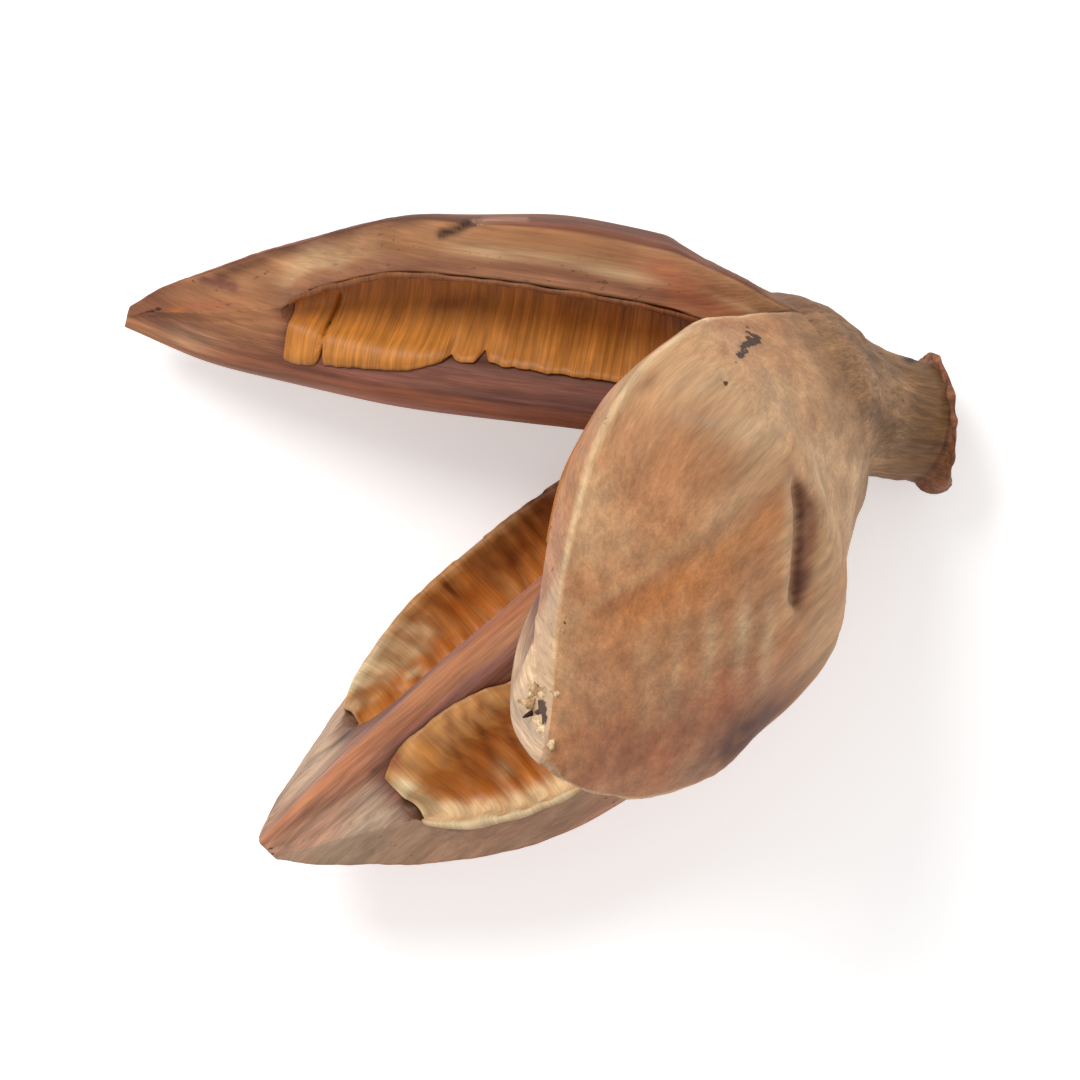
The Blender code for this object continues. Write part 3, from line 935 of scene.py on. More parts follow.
def painted_neck(seen, then):
    rows = np.clip(-then[..., 2] / NECK_LENGTH, 0, 1)
    drift = 0.5 + 0.8 * fibre_noise(then, 3.5, 9, 2.0) + 0.3 * fibre_noise(then, 1.3, 5, 6.0)
    flicker = fibre_noise(then, 1.7, 3, 8.0)
    colour = mixed(OLIVE, TAN, drift)
    for *shape, tint, power in NECK_SPOTS:
        colour = mixed(colour, tint, spot_weight(seen, *shape) * power * (1 + flicker))
    colour = mixed(colour, MOSS, stroke_weight(seen, NECK_BAND, 1.1) * (1.0 + 0.8 * flicker))
    on_collar = smooth((rows - COLLAR_GROOVE) / 0.03) * 0.9
    colour = mixed(colour, mixed(BARK, CLAY, 0.45 * drift), on_collar)
    # the groove under the collar's lip is darkened: painted shade
    groove_shade = np.exp(-(((rows - COLLAR_GROOVE) / 0.014) ** 2))
    colour = mixed(colour, COCOA, groove_shade * (0.85 + 0.6 * flicker))
    marks = np.zeros(rows.shape)
    return np.concatenate([colour, marks[..., None]], axis=-1)


neck_tints = painted_neck(laid(rough_neck), neck_then)
neck_blend = smooth(np.arange(len(neck_tints)) / 9)[:, None, None]
neck_tints = first_ring(valve_tints)[None] * (1 - neck_blend) + neck_tints * neck_blend
print("neck painted:", neck_tints.shape)

# %% [markdown]
# ## One skin over everything
#
# The valves and the neck are grids, and neighbouring grids share an edge. A small
# builder collects their faces, welds corners that fall on one spot, and keeps for each
# face which zone it belongs to. The result is one closed mesh, as the pod is one piece
# of wood, and no seam can open between its parts.

# %% A builder that welds grids
class Weld:
    def __init__(self):
        self.index, self.points, self.places, self.tints = {}, [], [], []
        self.faces, self.zones = [], []

    def corner(self, key, point, place, tint):
        if key not in self.index:
            self.index[key] = len(self.points)
            self.points.append(point)
            self.places.append(place)
            self.tints.append(tint)
        return self.index[key]

    def loft(self, keys, points, places, tints, zones, flipped=False):
        ids = [[self.corner(k, p, q, c) for k, p, q, c in zip(*row)]
               for row in zip(keys, points, places, tints)]
        count = len(ids[0])
        for low, high in zip(ids[:-1], ids[1:]):
            for j in range(count):
                k = (j + 1) % count
                ring = list(dict.fromkeys([low[j], low[k], high[k], high[j]]))
                if len(ring) > 2:
                    self.faces.append(ring[::-1] if flipped else ring)
                    self.zones.append(zones[j])
        return ids

    def cap(self, ring, place, tint, zone, flipped=False):
        middle = np.mean([self.points[i] for i in ring], axis=0)
        centre = self.corner(("cap", len(self.points)), middle, place, tint)
        for j, a in enumerate(ring):
            face = [a, ring[(j + 1) % len(ring)], centre]
            self.faces.append(face[::-1] if flipped else face)
            self.zones.append(zone)


def weld_keys(before):
    """A key for each point from its exact place before any roughening."""
    return [[tuple(key) for key in row] for row in np.round(before / MM, 4)]


print("a corner's key:", weld_keys(neck_now[:1])[0][0])

# %% Weld valves and neck into one mesh
weld = Weld()
for name in VALVES:
    keys, seen = weld_keys(valve_now[name]), laid(rough_valves[name])
    ids = weld.loft(keys, seen, valve_then[name], valve_tints[name], LOOP_ZONES)
    weld.cap(ids[-1], valve_then[name][-1].mean(axis=0), valve_tints[name][-1, 0], "cut")
ring_zones = ["neck"] * rough_neck.shape[1]
scar_from = NECK_STATIONS - 1
neck_keys = weld_keys(neck_now)
seen_neck = laid(rough_neck)
weld.loft(neck_keys[:scar_from + 1], seen_neck[:scar_from + 1], neck_then[:scar_from + 1],
          neck_tints[:scar_from + 1], ring_zones, flipped=True)
ids = weld.loft(neck_keys[scar_from:], seen_neck[scar_from:], neck_then[scar_from:],
                neck_tints[scar_from:], ["scar"] * len(ring_zones), flipped=True)
weld.cap(ids[-1], neck_then[-1].mean(axis=0), neck_tints[-1, 0], "scar", flipped=True)
print("welded points:", len(weld.points), "faces:", len(weld.faces))

# %% [markdown]
# ## From numbers to a Blender object
#
# The mesh carries two attributes that the materials read: grain, the place in the
# closed pod, and tint, the painted colours.

# %% Make the husk object
def new_object(name, points, faces):
    mesh = bpy.data.meshes.new(name)
    mesh.from_pydata([tuple(p) for p in points], [], faces)
    mesh.shade_smooth()
    made = bpy.data.objects.new(name, mesh)
    bpy.context.scene.collection.objects.link(made)
    return made


def add_grain(mesh, places):
    grain = mesh.attributes.new("grain", "FLOAT_VECTOR", "POINT")
    grain.data.foreach_set("vector", np.asarray(places, np.float32).ravel())


def add_tint(mesh, tints):
    tint = mesh.attributes.new("tint", "FLOAT_COLOR", "POINT")
    tint.data.foreach_set("color", np.clip(np.asarray(tints, np.float32), 0, 1).ravel())


husk = new_object("husk", weld.points, weld.faces)
add_grain(husk.data, weld.places)
add_tint(husk.data, weld.tints)
print("husk triangles:", sum(len(f) - 2 for f in weld.faces))

# %% [markdown]
# ## The papery linings
#
# Each hollow keeps a thin amber layer, pleated across where the seeds lay side by side.
# It has come away from the septum along a lobed, notched edge. Cloth simulation could
# fold such a sheet, but its pleats wouldn't stay put. Here the sheet follows the
# hollow's wall, a little off it: the pleats are a wave along the hollow, and the torn
# edge is the sheet simply ending early by an uneven amount. A few tears are stated.

# %% Sizes, pleats and tears of the linings
LINING_STATIONS = 240
LINING_COLUMNS = 34
LINING_GAP = 0.11
SHEET_RISE = 0.32
BED_UNIT = 10 * MM
# how far a sheet climbs the septum's flank: (station, lap), a lap of 0.1 being a millimetre
EVEN_LAP = [(0.0, 0.0), (1.0, 0.1)]
LAPS = {
    ("upper", 1): EVEN_LAP,
    ("upper", -1): [(0.20, 0.02), (0.34, 0.04), (0.45, 0.02), (0.50, 0.04), (0.56, 0.20),
                    (0.66, 0.29), (0.74, 0.44)],
    ("lower", 1): [(0.50, 0.10), (0.56, 0.14), (0.615, 0.33), (0.665, 0.42), (0.73, 0.44),
                   (0.80, 0.36)],
    ("lower", -1): [(0.3, -0.10), (0.8, -0.08)],
    ("front", 1): EVEN_LAP,
    ("front", -1): EVEN_LAP,
}
# pitch and height of the pleats and of the broad swells in mm, size of the edge's lobes,
# how far the pleats drift in mm, and how far the sheet lies over the rim, as a lap
PLEAT_SIZES = ("pitch", "height", "broad", "swell", "lobes", "drift", "over")
PLEATS = {
    "upper": dict(zip(PLEAT_SIZES, (1.05, 0.08, 5.5, 0.22, 0.018, 0.5, 0.05))),
    "lower": dict(zip(PLEAT_SIZES, (3.1, 0.62, 8.0, 0.30, 0.015, 2.6, 0.05))),
    "front": dict(zip(PLEAT_SIZES, (2.4, 0.35, 7.0, 0.12, 0.030, 1.0, 0.01))),
}
# station, half width in mm, depth as a share of the sheet
TEARS = {
    "upper": [(0.690, 0.30, 0.24), (0.500, 0.7, 0.04), (0.455, 0.6, 0.06)],
    "lower": [(0.55, 0.4, 0.10), (0.42, 0.5, 0.12)],
    "front": [(0.60, 0.4, 0.25), (0.40, 0.8, 0.12)],
}
print("stated tears:", {name: len(tears) for name, tears in TEARS.items()})

# %% Bed and torn edge of a lining
def lining_stations(valve):
    middle = (HOLLOW_START + valve["hollow_end"]) / 2
    reach = (valve["hollow_end"] - HOLLOW_START) / 2
    return np.linspace(middle - reach * 0.985, middle + reach * valve["lined"], LINING_STATIONS + 1)


def bed(s, valve, t):
    """What a lining lies on: the hollow's wall, and past its ends the faces beside it."""
    wall = hollow_curve(s, valve, np.clip(t, 0, 1))
    rim_end, septum_end = hollow_curve(s, valve, [0.0, 1.0])
    _, skin, _, _, edge, _ = section_marks(s, valve)
    wall = wall + np.outer(np.clip(-t, 0, None), unit(skin[-1] - rim_end)) * BED_UNIT
    return wall + np.outer(np.clip(t - 1, 0, None), unit(edge - septum_end)) * BED_UNIT


def torn_edge(name, s, seed, side):
    """Where the sheet ends by the septum: 1 is the hollow's brink, then 0.1 a millimetre."""
    along = s * VALVES[name]["length"] / MM
    lobes = abs(noise.noise(Vector((along / 2.3, seed, 0.3))))
    teeth = noise.noise(Vector((along / 0.55, seed, 7.7)))
    ragged = PLEATS[name]["lobes"] * (1.8 * lobes + 0.35 * teeth)
    ends = 0.985 + read_curve(LAPS[name, side], s) - ragged
    for station, half_width, depth in TEARS[name]:
        away = (s - station) * VALVES[name]["length"] / MM / half_width
        ends -= depth * math.exp(-away * away)
    return ends


print("the upper sheet ends at", round(torn_edge("upper", 0.5, 0.0, -1), 2), "at mid length")

# %% Sheet of a lining
def lining_grids(name, side):
    valve, pleat = VALVES[name], PLEATS[name]
    spine = valve_spine(valve)
    seed = 3.7 * valve["around"] / 120 + side
    now, then, ripple = [], [], []
    for s in lining_stations(valve):
        along = s * valve["length"] / MM
        start = pleat["over"] * (0.4 * noise.noise(Vector((along / 3, seed, 2.2))) - 1)
        t = np.linspace(start, torn_edge(name, s, seed, side), LINING_COLUMNS + 1)
        wall = bed(s, valve, t) * np.array([1, side])
        now.append(carry(spine, s, wall))
        then.append(grown(s, valve, wall))
        drift = [noise.noise(Vector((along / 7, x * 2.2, seed))) for x in t]
        phase = along + pleat["drift"] * np.array(drift)
        fine = 0.5 - 0.5 * np.cos(2 * math.pi * phase / pleat["pitch"])
        broad = 0.5 + 0.5 * np.sin(2 * math.pi * phase / pleat["broad"])
        fade = smooth((t - t[0]) / 0.16) * smooth((t[-1] + 0.02 - t) / 0.14)
        ripple.append((pleat["height"] * fine + pleat["swell"] * broad + SHEET_RISE) * fade)
    return np.array(now), np.array(then), np.array(ripple)


def lining_sheet(name, side):
    now, then, ripple = lining_grids(name, side)
    normals = outward_normals(now, closed_loop=False) * side
    rows = np.arange(len(now))
    ends = smooth(np.minimum(rows, rows[::-1]) / 14)[:, None]
    height = (LINING_GAP + ripple) * (0.35 + 0.65 * ends)
    return laid(wandered(now + normals * (height * MM)[..., None])), then, ripple


upper_sheet = lining_sheet("upper", -1)[0]
print("rows and columns of a sheet:", upper_sheet.shape[:2])

# %% Faces and thickness of a sheet
def thicken(thing, thickness, offset):
    """Give a sheet a thickness, on its outer side at offset 1 and its inner one at -1."""
    modifier = thing.modifiers.new("thickness", "SOLIDIFY")
    modifier.thickness = thickness
    modifier.offset = offset


def grid_faces(rows, columns, flipped=False):
    faces = []
    for i in range(rows - 1):
        for j in range(columns - 1):
            corner = i * columns + j
            ring = [corner, corner + 1, corner + columns + 1, corner + columns]
            faces.append(ring[::-1] if flipped else ring)
    return faces


print("faces of a sheet:", len(grid_faces(*upper_sheet.shape[:2])))

# %% [markdown]
# ## Painting the paper
#
# In the upper valve the paper is painted dark brown near the rim and in spots along it, as painted
# shade, and gold towards the septum. In the lower valve it is the colour of honey, and parts of it
# have bleached to cream, most of all along the outer edge; where it runs under the front valve it
# is darkened as painted shade. The paper material paints shade into the folds between pleats.

# %% Colours and spots of the paper
UMBER = from_bytes(138, 78, 32)
AMBER = from_bytes(190, 114, 44)
GOLD = from_bytes(200, 126, 48)
STRAW = from_bytes(236, 206, 158)
HONEY = from_bytes(202, 140, 78)
# towards the rim, in the middle, towards the septum; the upper paper's umber towards the rim is
# painted shade
PAPER_TONES = {
    "upper": (UMBER, AMBER, GOLD), "lower": (HONEY, AMBER, HONEY), "front": (AMBER, AMBER, GOLD),
}
# middle x, y and half sizes in mm, turn in degrees, colour, strength
PAPER_SPOTS = {
    "upper": [
        # the umber spots on the upper paper, under the rim and at its right end, are painted shade
        (-26.5, 21.0, 3.0, 2.2, 0, GOLD, 0.5), (-9.0, 27.0, 5.0, 1.6, 0, UMBER, 0.5),
        (6.0, 26.5, 7.0, 1.6, -8, UMBER, 0.35), (19.0, 24.5, 6.0, 2.2, -20, UMBER, 0.9),
    ],
    "lower": [
        (-11.8, -8.3, 2.0, 1.6, 45, GOLD, 0.7), (-8.6, -4.6, 1.6, 1.0, 45, GOLD, 0.4),
        # the two umber spots where the lower paper runs under the front valve are painted shade
        (-4.0, -1.5, 5.0, 3.0, 45, UMBER, 0.6), (1.5, 5.0, 6.0, 3.0, 45, UMBER, 0.8),
        (-10.4, -5.6, 1.4, 0.4, -45, UMBER, 0.9), (-12.0, -10.6, 1.0, 1.0, 0, UMBER, 0.6),
        (-17.6, -14.0, 4.8, 2.4, 48, HONEY, 0.8), (-13.0, -9.0, 3.0, 1.8, 45, HONEY, 0.5),
        (-15.4, -12.0, 3.6, 2.0, 40, STRAW, 1.1), (-18.6, -14.4, 3.0, 1.9, 50, STRAW, 1.1),
        (-14.6, -15.2, 1.2, 0.5, 40, STRAW, 0.8), (-20.8, -16.0, 2.2, 1.2, 50, STRAW, 0.9),
        (-21.4, -19.2, 1.6, 0.8, 50, STRAW, 0.9), (-19.0, -17.6, 1.6, 0.8, 45, HONEY, 0.8),
        (-16.6, -24.6, 1.0, 1.8, 20, RUST, 0.7), (-9.6, -24.0, 0.5, 3.0, 25, UMBER, 0.5),
        (-6.4, -22.6, 0.6, 3.4, 25, UMBER, 0.65), (-3.6, -22.0, 0.5, 3.0, 25, UMBER, 0.5),
        (-12.6, -25.0, 1.3, 3.0, 20, GOLD, 0.6), (-4.2, -26.2, 1.2, 1.6, 30, STRAW, 0.5),
        (-1.4, -26.6, 1.6, 2.6, 25, GOLD, 0.6),
    ],
    "front": [],
}
BLEACHED_RIM = [(-15.6, -28.8), (-12.6, -31.2), (-8.0, -31.8), (-3.6, -31.0), (2.6, -28.6)]
print("spots on paper:", {name: len(spots) for name, spots in PAPER_SPOTS.items()})

# %% Paint and build the linings
PAPER_THICKNESS = 0.2 * MM


def painted_paper(name, seen, then, ripple):
    rim, middle, septum = PAPER_TONES[name]
    across = np.linspace(0, 1, seen.shape[1])[None, :] * np.ones((len(seen), 1))
    patchy = 0.5 * fibre_noise(then, 3.5, 3.0, 6.6)
    ragged = fibre_noise(then, 1.6, 1.2, 3.3)
    colour = mixed(rim, middle, smooth((across + 0.5 * patchy) / 0.45))
    colour = mixed(colour, septum, smooth((across + 0.5 * patchy - 0.40) / 0.5))
    spots = PAPER_SPOTS[name]
    layers = [(spot_weight(seen, *shape) * power, tint) for *shape, tint, power in spots]
    if name == "lower":
        layers.append((stroke_weight(seen, BLEACHED_RIM, 1.7), STRAW))
    for weight, tint in layers:
        colour = mixed(colour, tint, smooth(weight * (1.2 + 0.6 * ragged)))
    pleat = PLEATS[name]
    # the alpha is how high on a pleat a point is; the paper material darkens the folds from it as
    # painted shade
    fold = np.clip((ripple - SHEET_RISE) / (pleat["height"] + pleat["swell"]), 0, 1)
    return np.concatenate([colour, fold[..., None]], axis=-1)


linings = {}
for name in VALVES:
    for label, side in (("left", 1), ("right", -1)):
        points, then, ripple = lining_sheet(name, side)
        faces = grid_faces(*points.shape[:2], flipped=side < 0)
        sheet = new_object(f"paper_{name}_{label}", points.reshape(-1, 3), faces)
        add_grain(sheet.data, then.reshape(-1, 3))
        add_tint(sheet.data, painted_paper(name, points, then, ripple).reshape(-1, 4))
        thicken(sheet, PAPER_THICKNESS, 1.0)
        linings[name, label] = sheet
print("linings:", len(linings), "points each:", len(sheet.data.vertices))

# %% [markdown]
# ## Torn scraps on the broken edges
#
# Where the front valve's tip tore free, a few scraps of pale inner fibre still stick out, and a
# thin splinter lies along the upper valve's crack. A hair system could strew them, but these few
# have known places. Each is a narrow curled strip whose root is set on a point of the wood, so it
# can't float. One flat dark strip among the pale scraps is painted shadow.

# %% Scraps of torn fibre
# valve, root seen from above in mm, reach in mm (x, y, z), width in mm, tint
SCRAPS = [
    ("front", (-0.9, -17.4), (-0.8, 1.6, 0.9), 1.9, CREAM),
    ("front", (-0.4, -17.9), (2.0, 0.9, 2.4), 1.8, CREAM),
    ("front", (-1.2, -18.4), (-1.9, 0.4, 0.6), 1.5, CREAM),
    ("front", (-0.6, -18.8), (0.9, -1.2, 1.2), 1.4, COCOA),
    ("front", (-0.3, -19.4), (0.7, -2.6, 1.6), 2.2, CREAM),
    ("front", (0.0, -20.6), (0.8, -2.8, 1.5), 1.9, CREAM),
    # this flat dark strip lies where shadow falls among the pale scraps: painted shadow
    ("front", (-1.2, -19.2), (-1.2, -0.6, 0.3), 0.7, DARK),
    ("upper", (-7.4, 36.2), (6.2, 0.3, 0.25), 0.5, ROSE),
]
SCRAP_STEPS = 10
SCRAP_THICKNESS = 0.15 * MM


def wood_near(name, spot):
    """The topmost wood point of a valve close to a spot seen from above."""
    cloud = laid(rough_valves[name]).reshape(-1, 3)
    away = np.linalg.norm(cloud[:, :2] / MM - np.array(spot), axis=1)
    close = cloud[away < max(0.6, away.min() + 0.1)]
    return close[close[:, 2].argmax()]


def scrap_grid(number, name, root, reach, width):
    start = wood_near(name, root)
    reach = np.array(reach) * MM
    side = unit(np.cross(reach, [0, 0, 1])) * width * MM / 2
    rows = []
    for k in range(SCRAP_STEPS + 1):
        u = k / SCRAP_STEPS
        lift = math.sin(math.pi * u * 0.8) * 0.25 * MM
        middle = start + reach * u + np.array([0, 0, lift - 0.15 * MM * (1 - u)])
        taper = (1 - 0.75 * u ** 1.5) * (1 + 0.5 * noise.noise(Vector((u * 4, number, 0))))
        bow = np.array([0, 0, 0.12 * MM])
        rows.append([middle - side * taper, middle + bow, middle + side * taper])
    return np.array(rows)


scrap_points, scrap_faces, scrap_tints = [], [], []
for number, (name, root, reach, width, tint) in enumerate(SCRAPS):
    rows = scrap_grid(number, name, root, reach, width)
    offset = len(scrap_points)
    scrap_points += list(rows.reshape(-1, 3))
    scrap_faces += [[offset + i for i in face] for face in grid_faces(*rows.shape[:2])]
    scrap_tints += [[*tint, 0.0]] * (rows.shape[0] * rows.shape[1])
scraps = new_object("torn_scraps", scrap_points, scrap_faces)
add_grain(scraps.data, np.array(scrap_points) / MM)
add_tint(scraps.data, scrap_tints)
thicken(scraps, SCRAP_THICKNESS, -1.0)
print("scraps:", len(SCRAPS))

# %% [markdown]
# ## A short way to write node trees
#
# Materials here are node trees, built in code. A few helpers keep them readable: they
# add a node and set or link its inputs by name, mix two colours, do a sum, turn a value
# into greys, lay noise along the fibres, and connect a finished surface.

# %% Node helpers
def add_node(tree, kind, setup=None, **inputs):
    made = tree.nodes.new(kind)
    for key, value in (setup or {}).items():
        setattr(made, key, value)
    for key, value in inputs.items():
        socket = made.inputs[key.replace("_", " ")]
        if isinstance(value, bpy.types.NodeSocket):
            tree.links.new(value, socket)
        else:
            socket.default_value = value
    return made


def mix_colours(tree, factor, first, second, blend="MIX"):
    """A Mix node set to colours, whose factor is input 0 and whose colours are 6 and 7."""
    made = tree.nodes.new("ShaderNodeMix")
    made.data_type = "RGBA"
    made.blend_type = blend
    for number, value in ((0, factor), (6, first), (7, second)):
        if isinstance(value, bpy.types.NodeSocket):
            tree.links.new(value, made.inputs[number])
        elif number == 0:
            made.inputs[0].default_value = value
        else:
            made.inputs[number].default_value = (*value, 1)
    return made.outputs[2]


def sums(tree, operation, *values):
    """A Math node of one operation on sockets or numbers."""
    made = tree.nodes.new("ShaderNodeMath")
    made.operation = operation
    for number, value in enumerate(values):
        if isinstance(value, bpy.types.NodeSocket):
            tree.links.new(value, made.inputs[number])
        else:
            made.inputs[number].default_value = value
    return made.outputs[0]


def ramp(tree, factor, *stops):
    """Greys between stops, each a place and a value."""
    made = tree.nodes.new("ShaderNodeValToRGB")
    tree.links.new(factor, made.inputs[0])
    elements = made.color_ramp.elements
    while len(elements) < len(stops):
        elements.new(0.5)
    for element, (place, value) in zip(elements, stops):
        element.position = place
        element.color = (value, value, value, 1)
    return made.outputs[0]


def grain_noise(tree, across, along, detail=3.0, shift=0.0):
    """Noise on the closed pod's places, so many millimetres across and along."""
    place = add_node(tree, "ShaderNodeAttribute", {"attribute_name": "grain"})
    spread = tree.nodes.new("ShaderNodeVectorMath")
    spread.operation = "MULTIPLY_ADD"
    tree.links.new(place.outputs["Vector"], spread.inputs[0])
    spread.inputs[1].default_value = (1 / across, 1 / across, 1 / along)
    spread.inputs[2].default_value = (shift, shift, shift)
    made = add_node(tree, "ShaderNodeTexNoise", Vector=spread.outputs[0], Scale=1.0, Detail=detail)
    return made.outputs["Fac"]


def start_material(name):
    material = bpy.data.materials.new(name)
    material.use_nodes = True
    return material, material.node_tree, material.node_tree.nodes["Principled BSDF"]


def finish_shader(tree, shader, colour, relief, roughness, specular):
    tree.links.new(colour, shader.inputs["Base Color"])
    tree.links.new(relief.outputs["Normal"], shader.inputs["Normal"])
    shader.inputs["Roughness"].default_value = roughness
    shader.inputs["Specular IOR Level"].default_value = specular


# %% [markdown]
# ## One recipe for every wood
#
# The painted tint is the ground colour. Over it go streaks and fine fibres, a slow
# mottle, small dark pores, and the dark marks, which get crisp broken edges because
# their soft weight is pushed about by noise before it is cut off. An image texture would
# need unwrapping, and noise laid out in the closed pod doesn't. The fibres also drive
# the bump, so that light and colour agree.

# %% Wood recipe
PORE_BROWN = from_bytes(74, 46, 32)


def wood(name, streak, fibre=0.20, mottle=0.12, pores=0.20, roughness=0.72, bump=0.25,
         span=(5, 14)):
    """Depths of streaks, fibres, mottle and pores, and the mottle's span in mm."""
    material, tree, shader = start_material(name)
    tint = add_node(tree, "ShaderNodeAttribute", {"attribute_name": "tint"})
    colour = tint.outputs["Color"]
    fibres = grain_noise(tree, 0.55, 11, detail=5.0, shift=4.0)
    patterns = [
        (grain_noise(tree, 1.9, 26, detail=4.0, shift=9.0), streak), (fibres, fibre),
        (grain_noise(tree, *span), mottle), (grain_noise(tree, 0.20, 3.5, shift=7.0), 0.8 * fibre),
    ]
    for pattern, depth in patterns:
        shade = ramp(tree, pattern, (0.34, 1 - depth * 1.2), (0.66, 1 + depth))
        colour = mix_colours(tree, 1.0, colour, shade, "MULTIPLY")
    speckle = grain_noise(tree, 0.55, 0.9, detail=2.0, shift=2.0)
    patches = ramp(tree, grain_noise(tree, 4, 7, detail=2.0, shift=6.0), (0.45, 0.0), (0.62, 1.0))
    dots = sums(tree, "MULTIPLY", ramp(tree, speckle, (0.64, 0.0), (0.72, pores)), patches)
    colour = mix_colours(tree, dots, colour, PORE_BROWN)
    weight = sums(tree, "ADD", tint.outputs["Alpha"], -0.45)
    ragged = sums(tree, "MULTIPLY_ADD", speckle, 0.9, weight)
    marks = ramp(tree, ragged, (0.42, 0.0), (0.58, 0.92))
    colour = mix_colours(tree, marks, colour, DARK)
    height = sums(tree, "MULTIPLY_ADD", dots, -0.6, fibres)
    height = sums(tree, "MULTIPLY_ADD", marks, -0.8, height)
    relief = add_node(tree, "ShaderNodeBump", Strength=bump, Distance=0.4 * MM, Height=height)
    finish_shader(tree, shader, colour, relief, roughness, 0.35)
    return material


WOODS = {
    "skin": wood("dry_skin", 0.14, fibre=0.10, mottle=0.09, pores=0.15, span=(5, 16)),
    "cut": wood("cut_seam_wood", 0.10, fibre=0.10, mottle=0.10, pores=0.60, bump=0.35, span=(3, 6)),
    "hollow": wood("hollow_wall", 0.15, fibre=0.16, mottle=0.15),
    "flank": wood("septum_wood", 0.28, roughness=0.6),
    "crest": wood("septum_crest_wood", 0.20, fibre=0.16, mottle=0.10, roughness=0.6),
    "neck": wood("neck_wood", 0.18, mottle=0.16, pores=0.75, bump=0.5, span=(3.5, 6)),
    "scar": wood("scar_wood", 0.20, mottle=0.3, pores=0.8, bump=0.6, span=(2, 2)),
}
numbers = {}
for zone, material in WOODS.items():
    numbers[zone] = len(husk.data.materials)
    husk.data.materials.append(material)
husk.data.polygons.foreach_set("material_index", [numbers[z] for z in weld.zones])
torn_fibre = wood("torn_fibre", 0.20, fibre=0.3, mottle=0.1, pores=0.3, bump=0.3)
scraps.data.materials.append(torn_fibre)
print("woods:", list(WOODS))

# %% [markdown]
# ## Amber paper
#
# The lining is thin and slightly glossy. The folds between its pleats are darkened and the pleats'
# tops a little lightened, which is painted shade and painted light; the tint's alpha tells how high
# on a pleat a point is. Fine stripes run across the hollow, the way the pleats do.

# %% Paper recipe
def paper(name, fold_shade, stripe_depth, stripe_width, blotch):
    material, tree, shader = start_material(name)
    tint = add_node(tree, "ShaderNodeAttribute", {"attribute_name": "tint"})
    stripes = grain_noise(tree, 7, stripe_width, detail=3.0, shift=5.0)
    hairs = grain_noise(tree, 5, stripe_width / 3, detail=2.0, shift=1.0)
    ragged = grain_noise(tree, 1.5, 0.8, detail=4.0, shift=3.0)
    # painted shade in the folds between pleats, and a little painted light on their tops
    fold = sums(tree, "ADD", tint.outputs["Alpha"], -0.12)
    fold_shading = sums(tree, "MULTIPLY_ADD", ragged, 0.24, fold)
    colour = tint.outputs["Color"]
    blotches = grain_noise(tree, 3.0, 1.8, detail=2.0, shift=8.0)
    for shade in (
        ramp(tree, fold_shading, (0.02, fold_shade), (0.45, 1.0), (0.8, 1.06)),
        ramp(tree, stripes, (0.36, 1 - stripe_depth), (0.64, 1 + 0.7 * stripe_depth)),
        ramp(tree, hairs, (0.36, 0.88), (0.64, 1.10)),
        ramp(tree, blotches, (0.36, 1 - blotch), (0.64, 1 + blotch)),
    ):
        colour = mix_colours(tree, 1.0, colour, shade, "MULTIPLY")
    relief = add_node(tree, "ShaderNodeBump", Strength=0.35, Distance=0.25 * MM, Height=stripes)
    finish_shader(tree, shader, colour, relief, 0.48, 0.4)
    return material


striped_paper = paper(
    "striped_paper", fold_shade=0.84, stripe_depth=0.20, stripe_width=0.34, blotch=0.06)
pillowed_paper = paper(
    "pillowed_paper", fold_shade=0.80, stripe_depth=0.05, stripe_width=0.70, blotch=0.08)
for (name, label), sheet in linings.items():
    sheet.data.materials.append(striped_paper if name == "upper" else pillowed_paper)
print("papers on", len(linings), "linings")

# %% [markdown]
# ## Telling the frame what stands for what
#
# The husk replaces the CAD capsule, and each paper its CAD lining. All of them ride on
# the one body, root.

# %% Ride and replace
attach(husk, "root")
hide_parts("capsule")
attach(scraps, "root")
for (name, label), sheet in linings.items():
    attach(sheet, "root")
    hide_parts(f"lining_{name}_{label}")
print("pieces riding on root:", 2 + len(linings))

# %% [markdown]
# ## Floor, light and camera
#
# The pod lies on a plain white ground under soft light that comes mostly from the upper
# left. Much of the light is the even glow of the surroundings, so the ground stays
# nearly white and its shadow is faint. The ground glows a little as well, as on a light
# table. The camera hangs far above with a long lens, so the tall front valve isn't drawn
# larger than the rest.

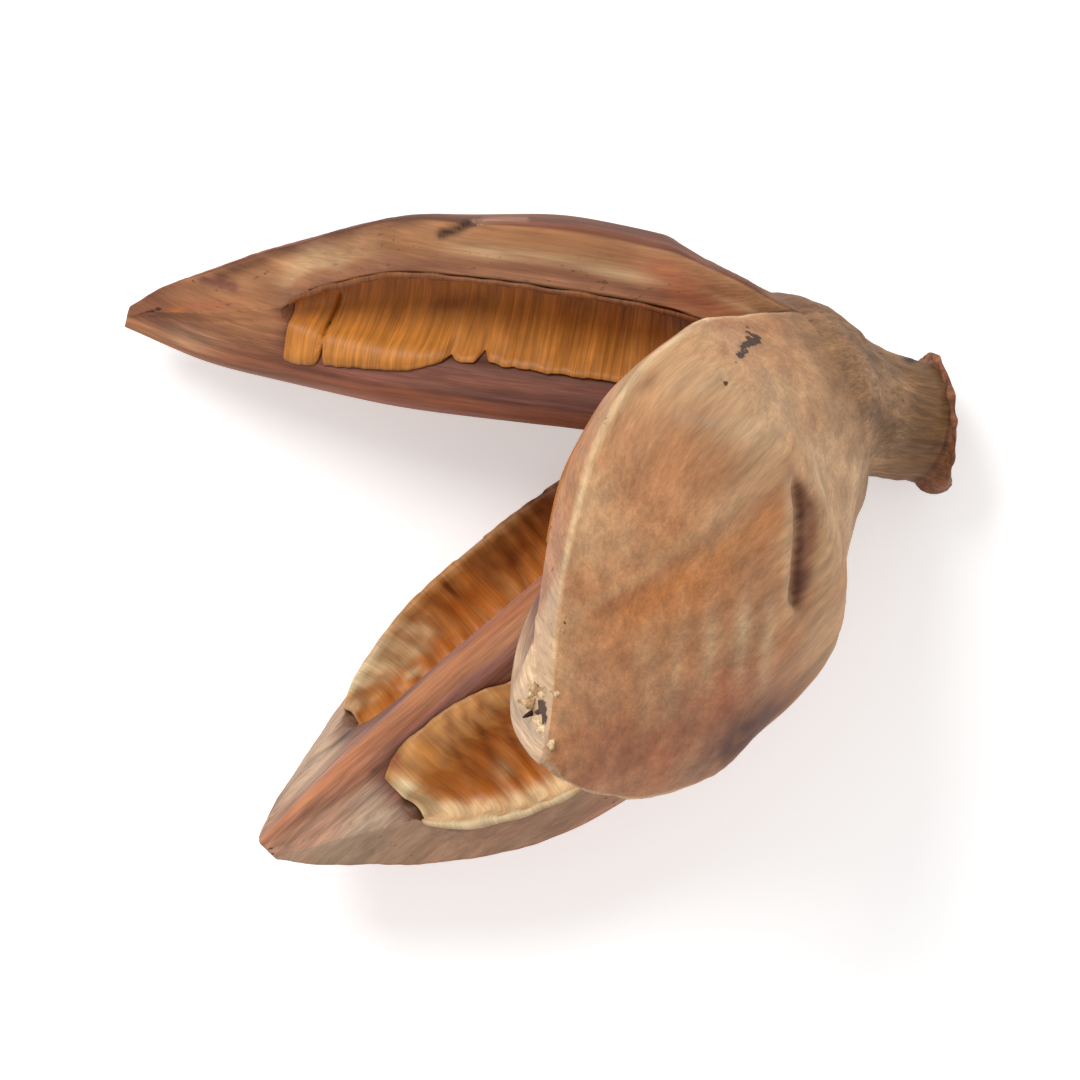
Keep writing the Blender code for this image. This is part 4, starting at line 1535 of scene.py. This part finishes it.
# %% Floor and backdrop
FLOOR_HALF = 2.0
corners = [(x * FLOOR_HALF, y * FLOOR_HALF, 0) for x, y in ((-1, -1), (1, -1), (1, 1), (-1, 1))]
floor = new_object("floor", corners, [(0, 1, 2, 3)])
floor_paint, _, floor_shader = start_material("white_ground")
floor_shader.inputs["Base Color"].default_value = (0.93, 0.93, 0.93, 1)
floor_shader.inputs["Roughness"].default_value = 0.9
floor_shader.inputs["Emission Color"].default_value = (1, 1, 1, 1)
floor_shader.inputs["Emission Strength"].default_value = 0.36
floor.data.materials.append(floor_paint)
floor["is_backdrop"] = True
print("floor side in metres:", 2 * FLOOR_HALF)

# %% Light
def soft_light(name, place, size, energy):
    lamp = bpy.data.lights.new(name, "AREA")
    lamp.shape = "DISK"
    lamp.size = size
    lamp.energy = energy
    made = bpy.data.objects.new(name, lamp)
    made.location = place
    made.rotation_euler = (-Vector(place)).to_track_quat("-Z", "Y").to_euler()
    bpy.context.scene.collection.objects.link(made)


soft_light("key", place=(-0.90, 1.20, 1.70), size=1.2, energy=29.0)
soft_light("fill", place=(0.6, -0.2, 0.9), size=0.8, energy=0.8)
world = bpy.data.worlds.new("studio")
world.use_nodes = True
world.node_tree.nodes["Background"].inputs["Color"].default_value = (1, 1, 1, 1)
world.node_tree.nodes["Background"].inputs["Strength"].default_value = 0.60
bpy.context.scene.world = world
bpy.context.scene.view_settings.view_transform = "Standard"
print("lamps:", sorted(lamp.name for lamp in bpy.data.lights))

# %% Camera
CAMERA_HEIGHT = 3.0
VIEW_WIDTH = 0.124
camera_data = bpy.data.cameras.new("camera")
camera_data.sensor_width = 36
camera_data.lens = 36 * CAMERA_HEIGHT / VIEW_WIDTH
camera_data.clip_end = 10
camera = bpy.data.objects.new("camera", camera_data)
camera.location = (0, 0, CAMERA_HEIGHT)
bpy.context.scene.collection.objects.link(camera)
bpy.context.scene.camera = camera
print("lens in mm:", round(camera_data.lens))

# %% [markdown]
# ## Sizes, and the end
#
# Both boxes, the CAD pod's and the dressed pod's, are printed. The dressed pod has to
# keep to the CAD pod's box.

# %% Print the sizes and finish
visual_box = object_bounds()
boxes = {
    "cad": [list(corner) for corner in cad_box],
    "visual": [list(corner) for corner in visual_box],
}
for label, box in boxes.items():
    print(label, [[round(1000 * x, 2) for x in corner] for corner in box])
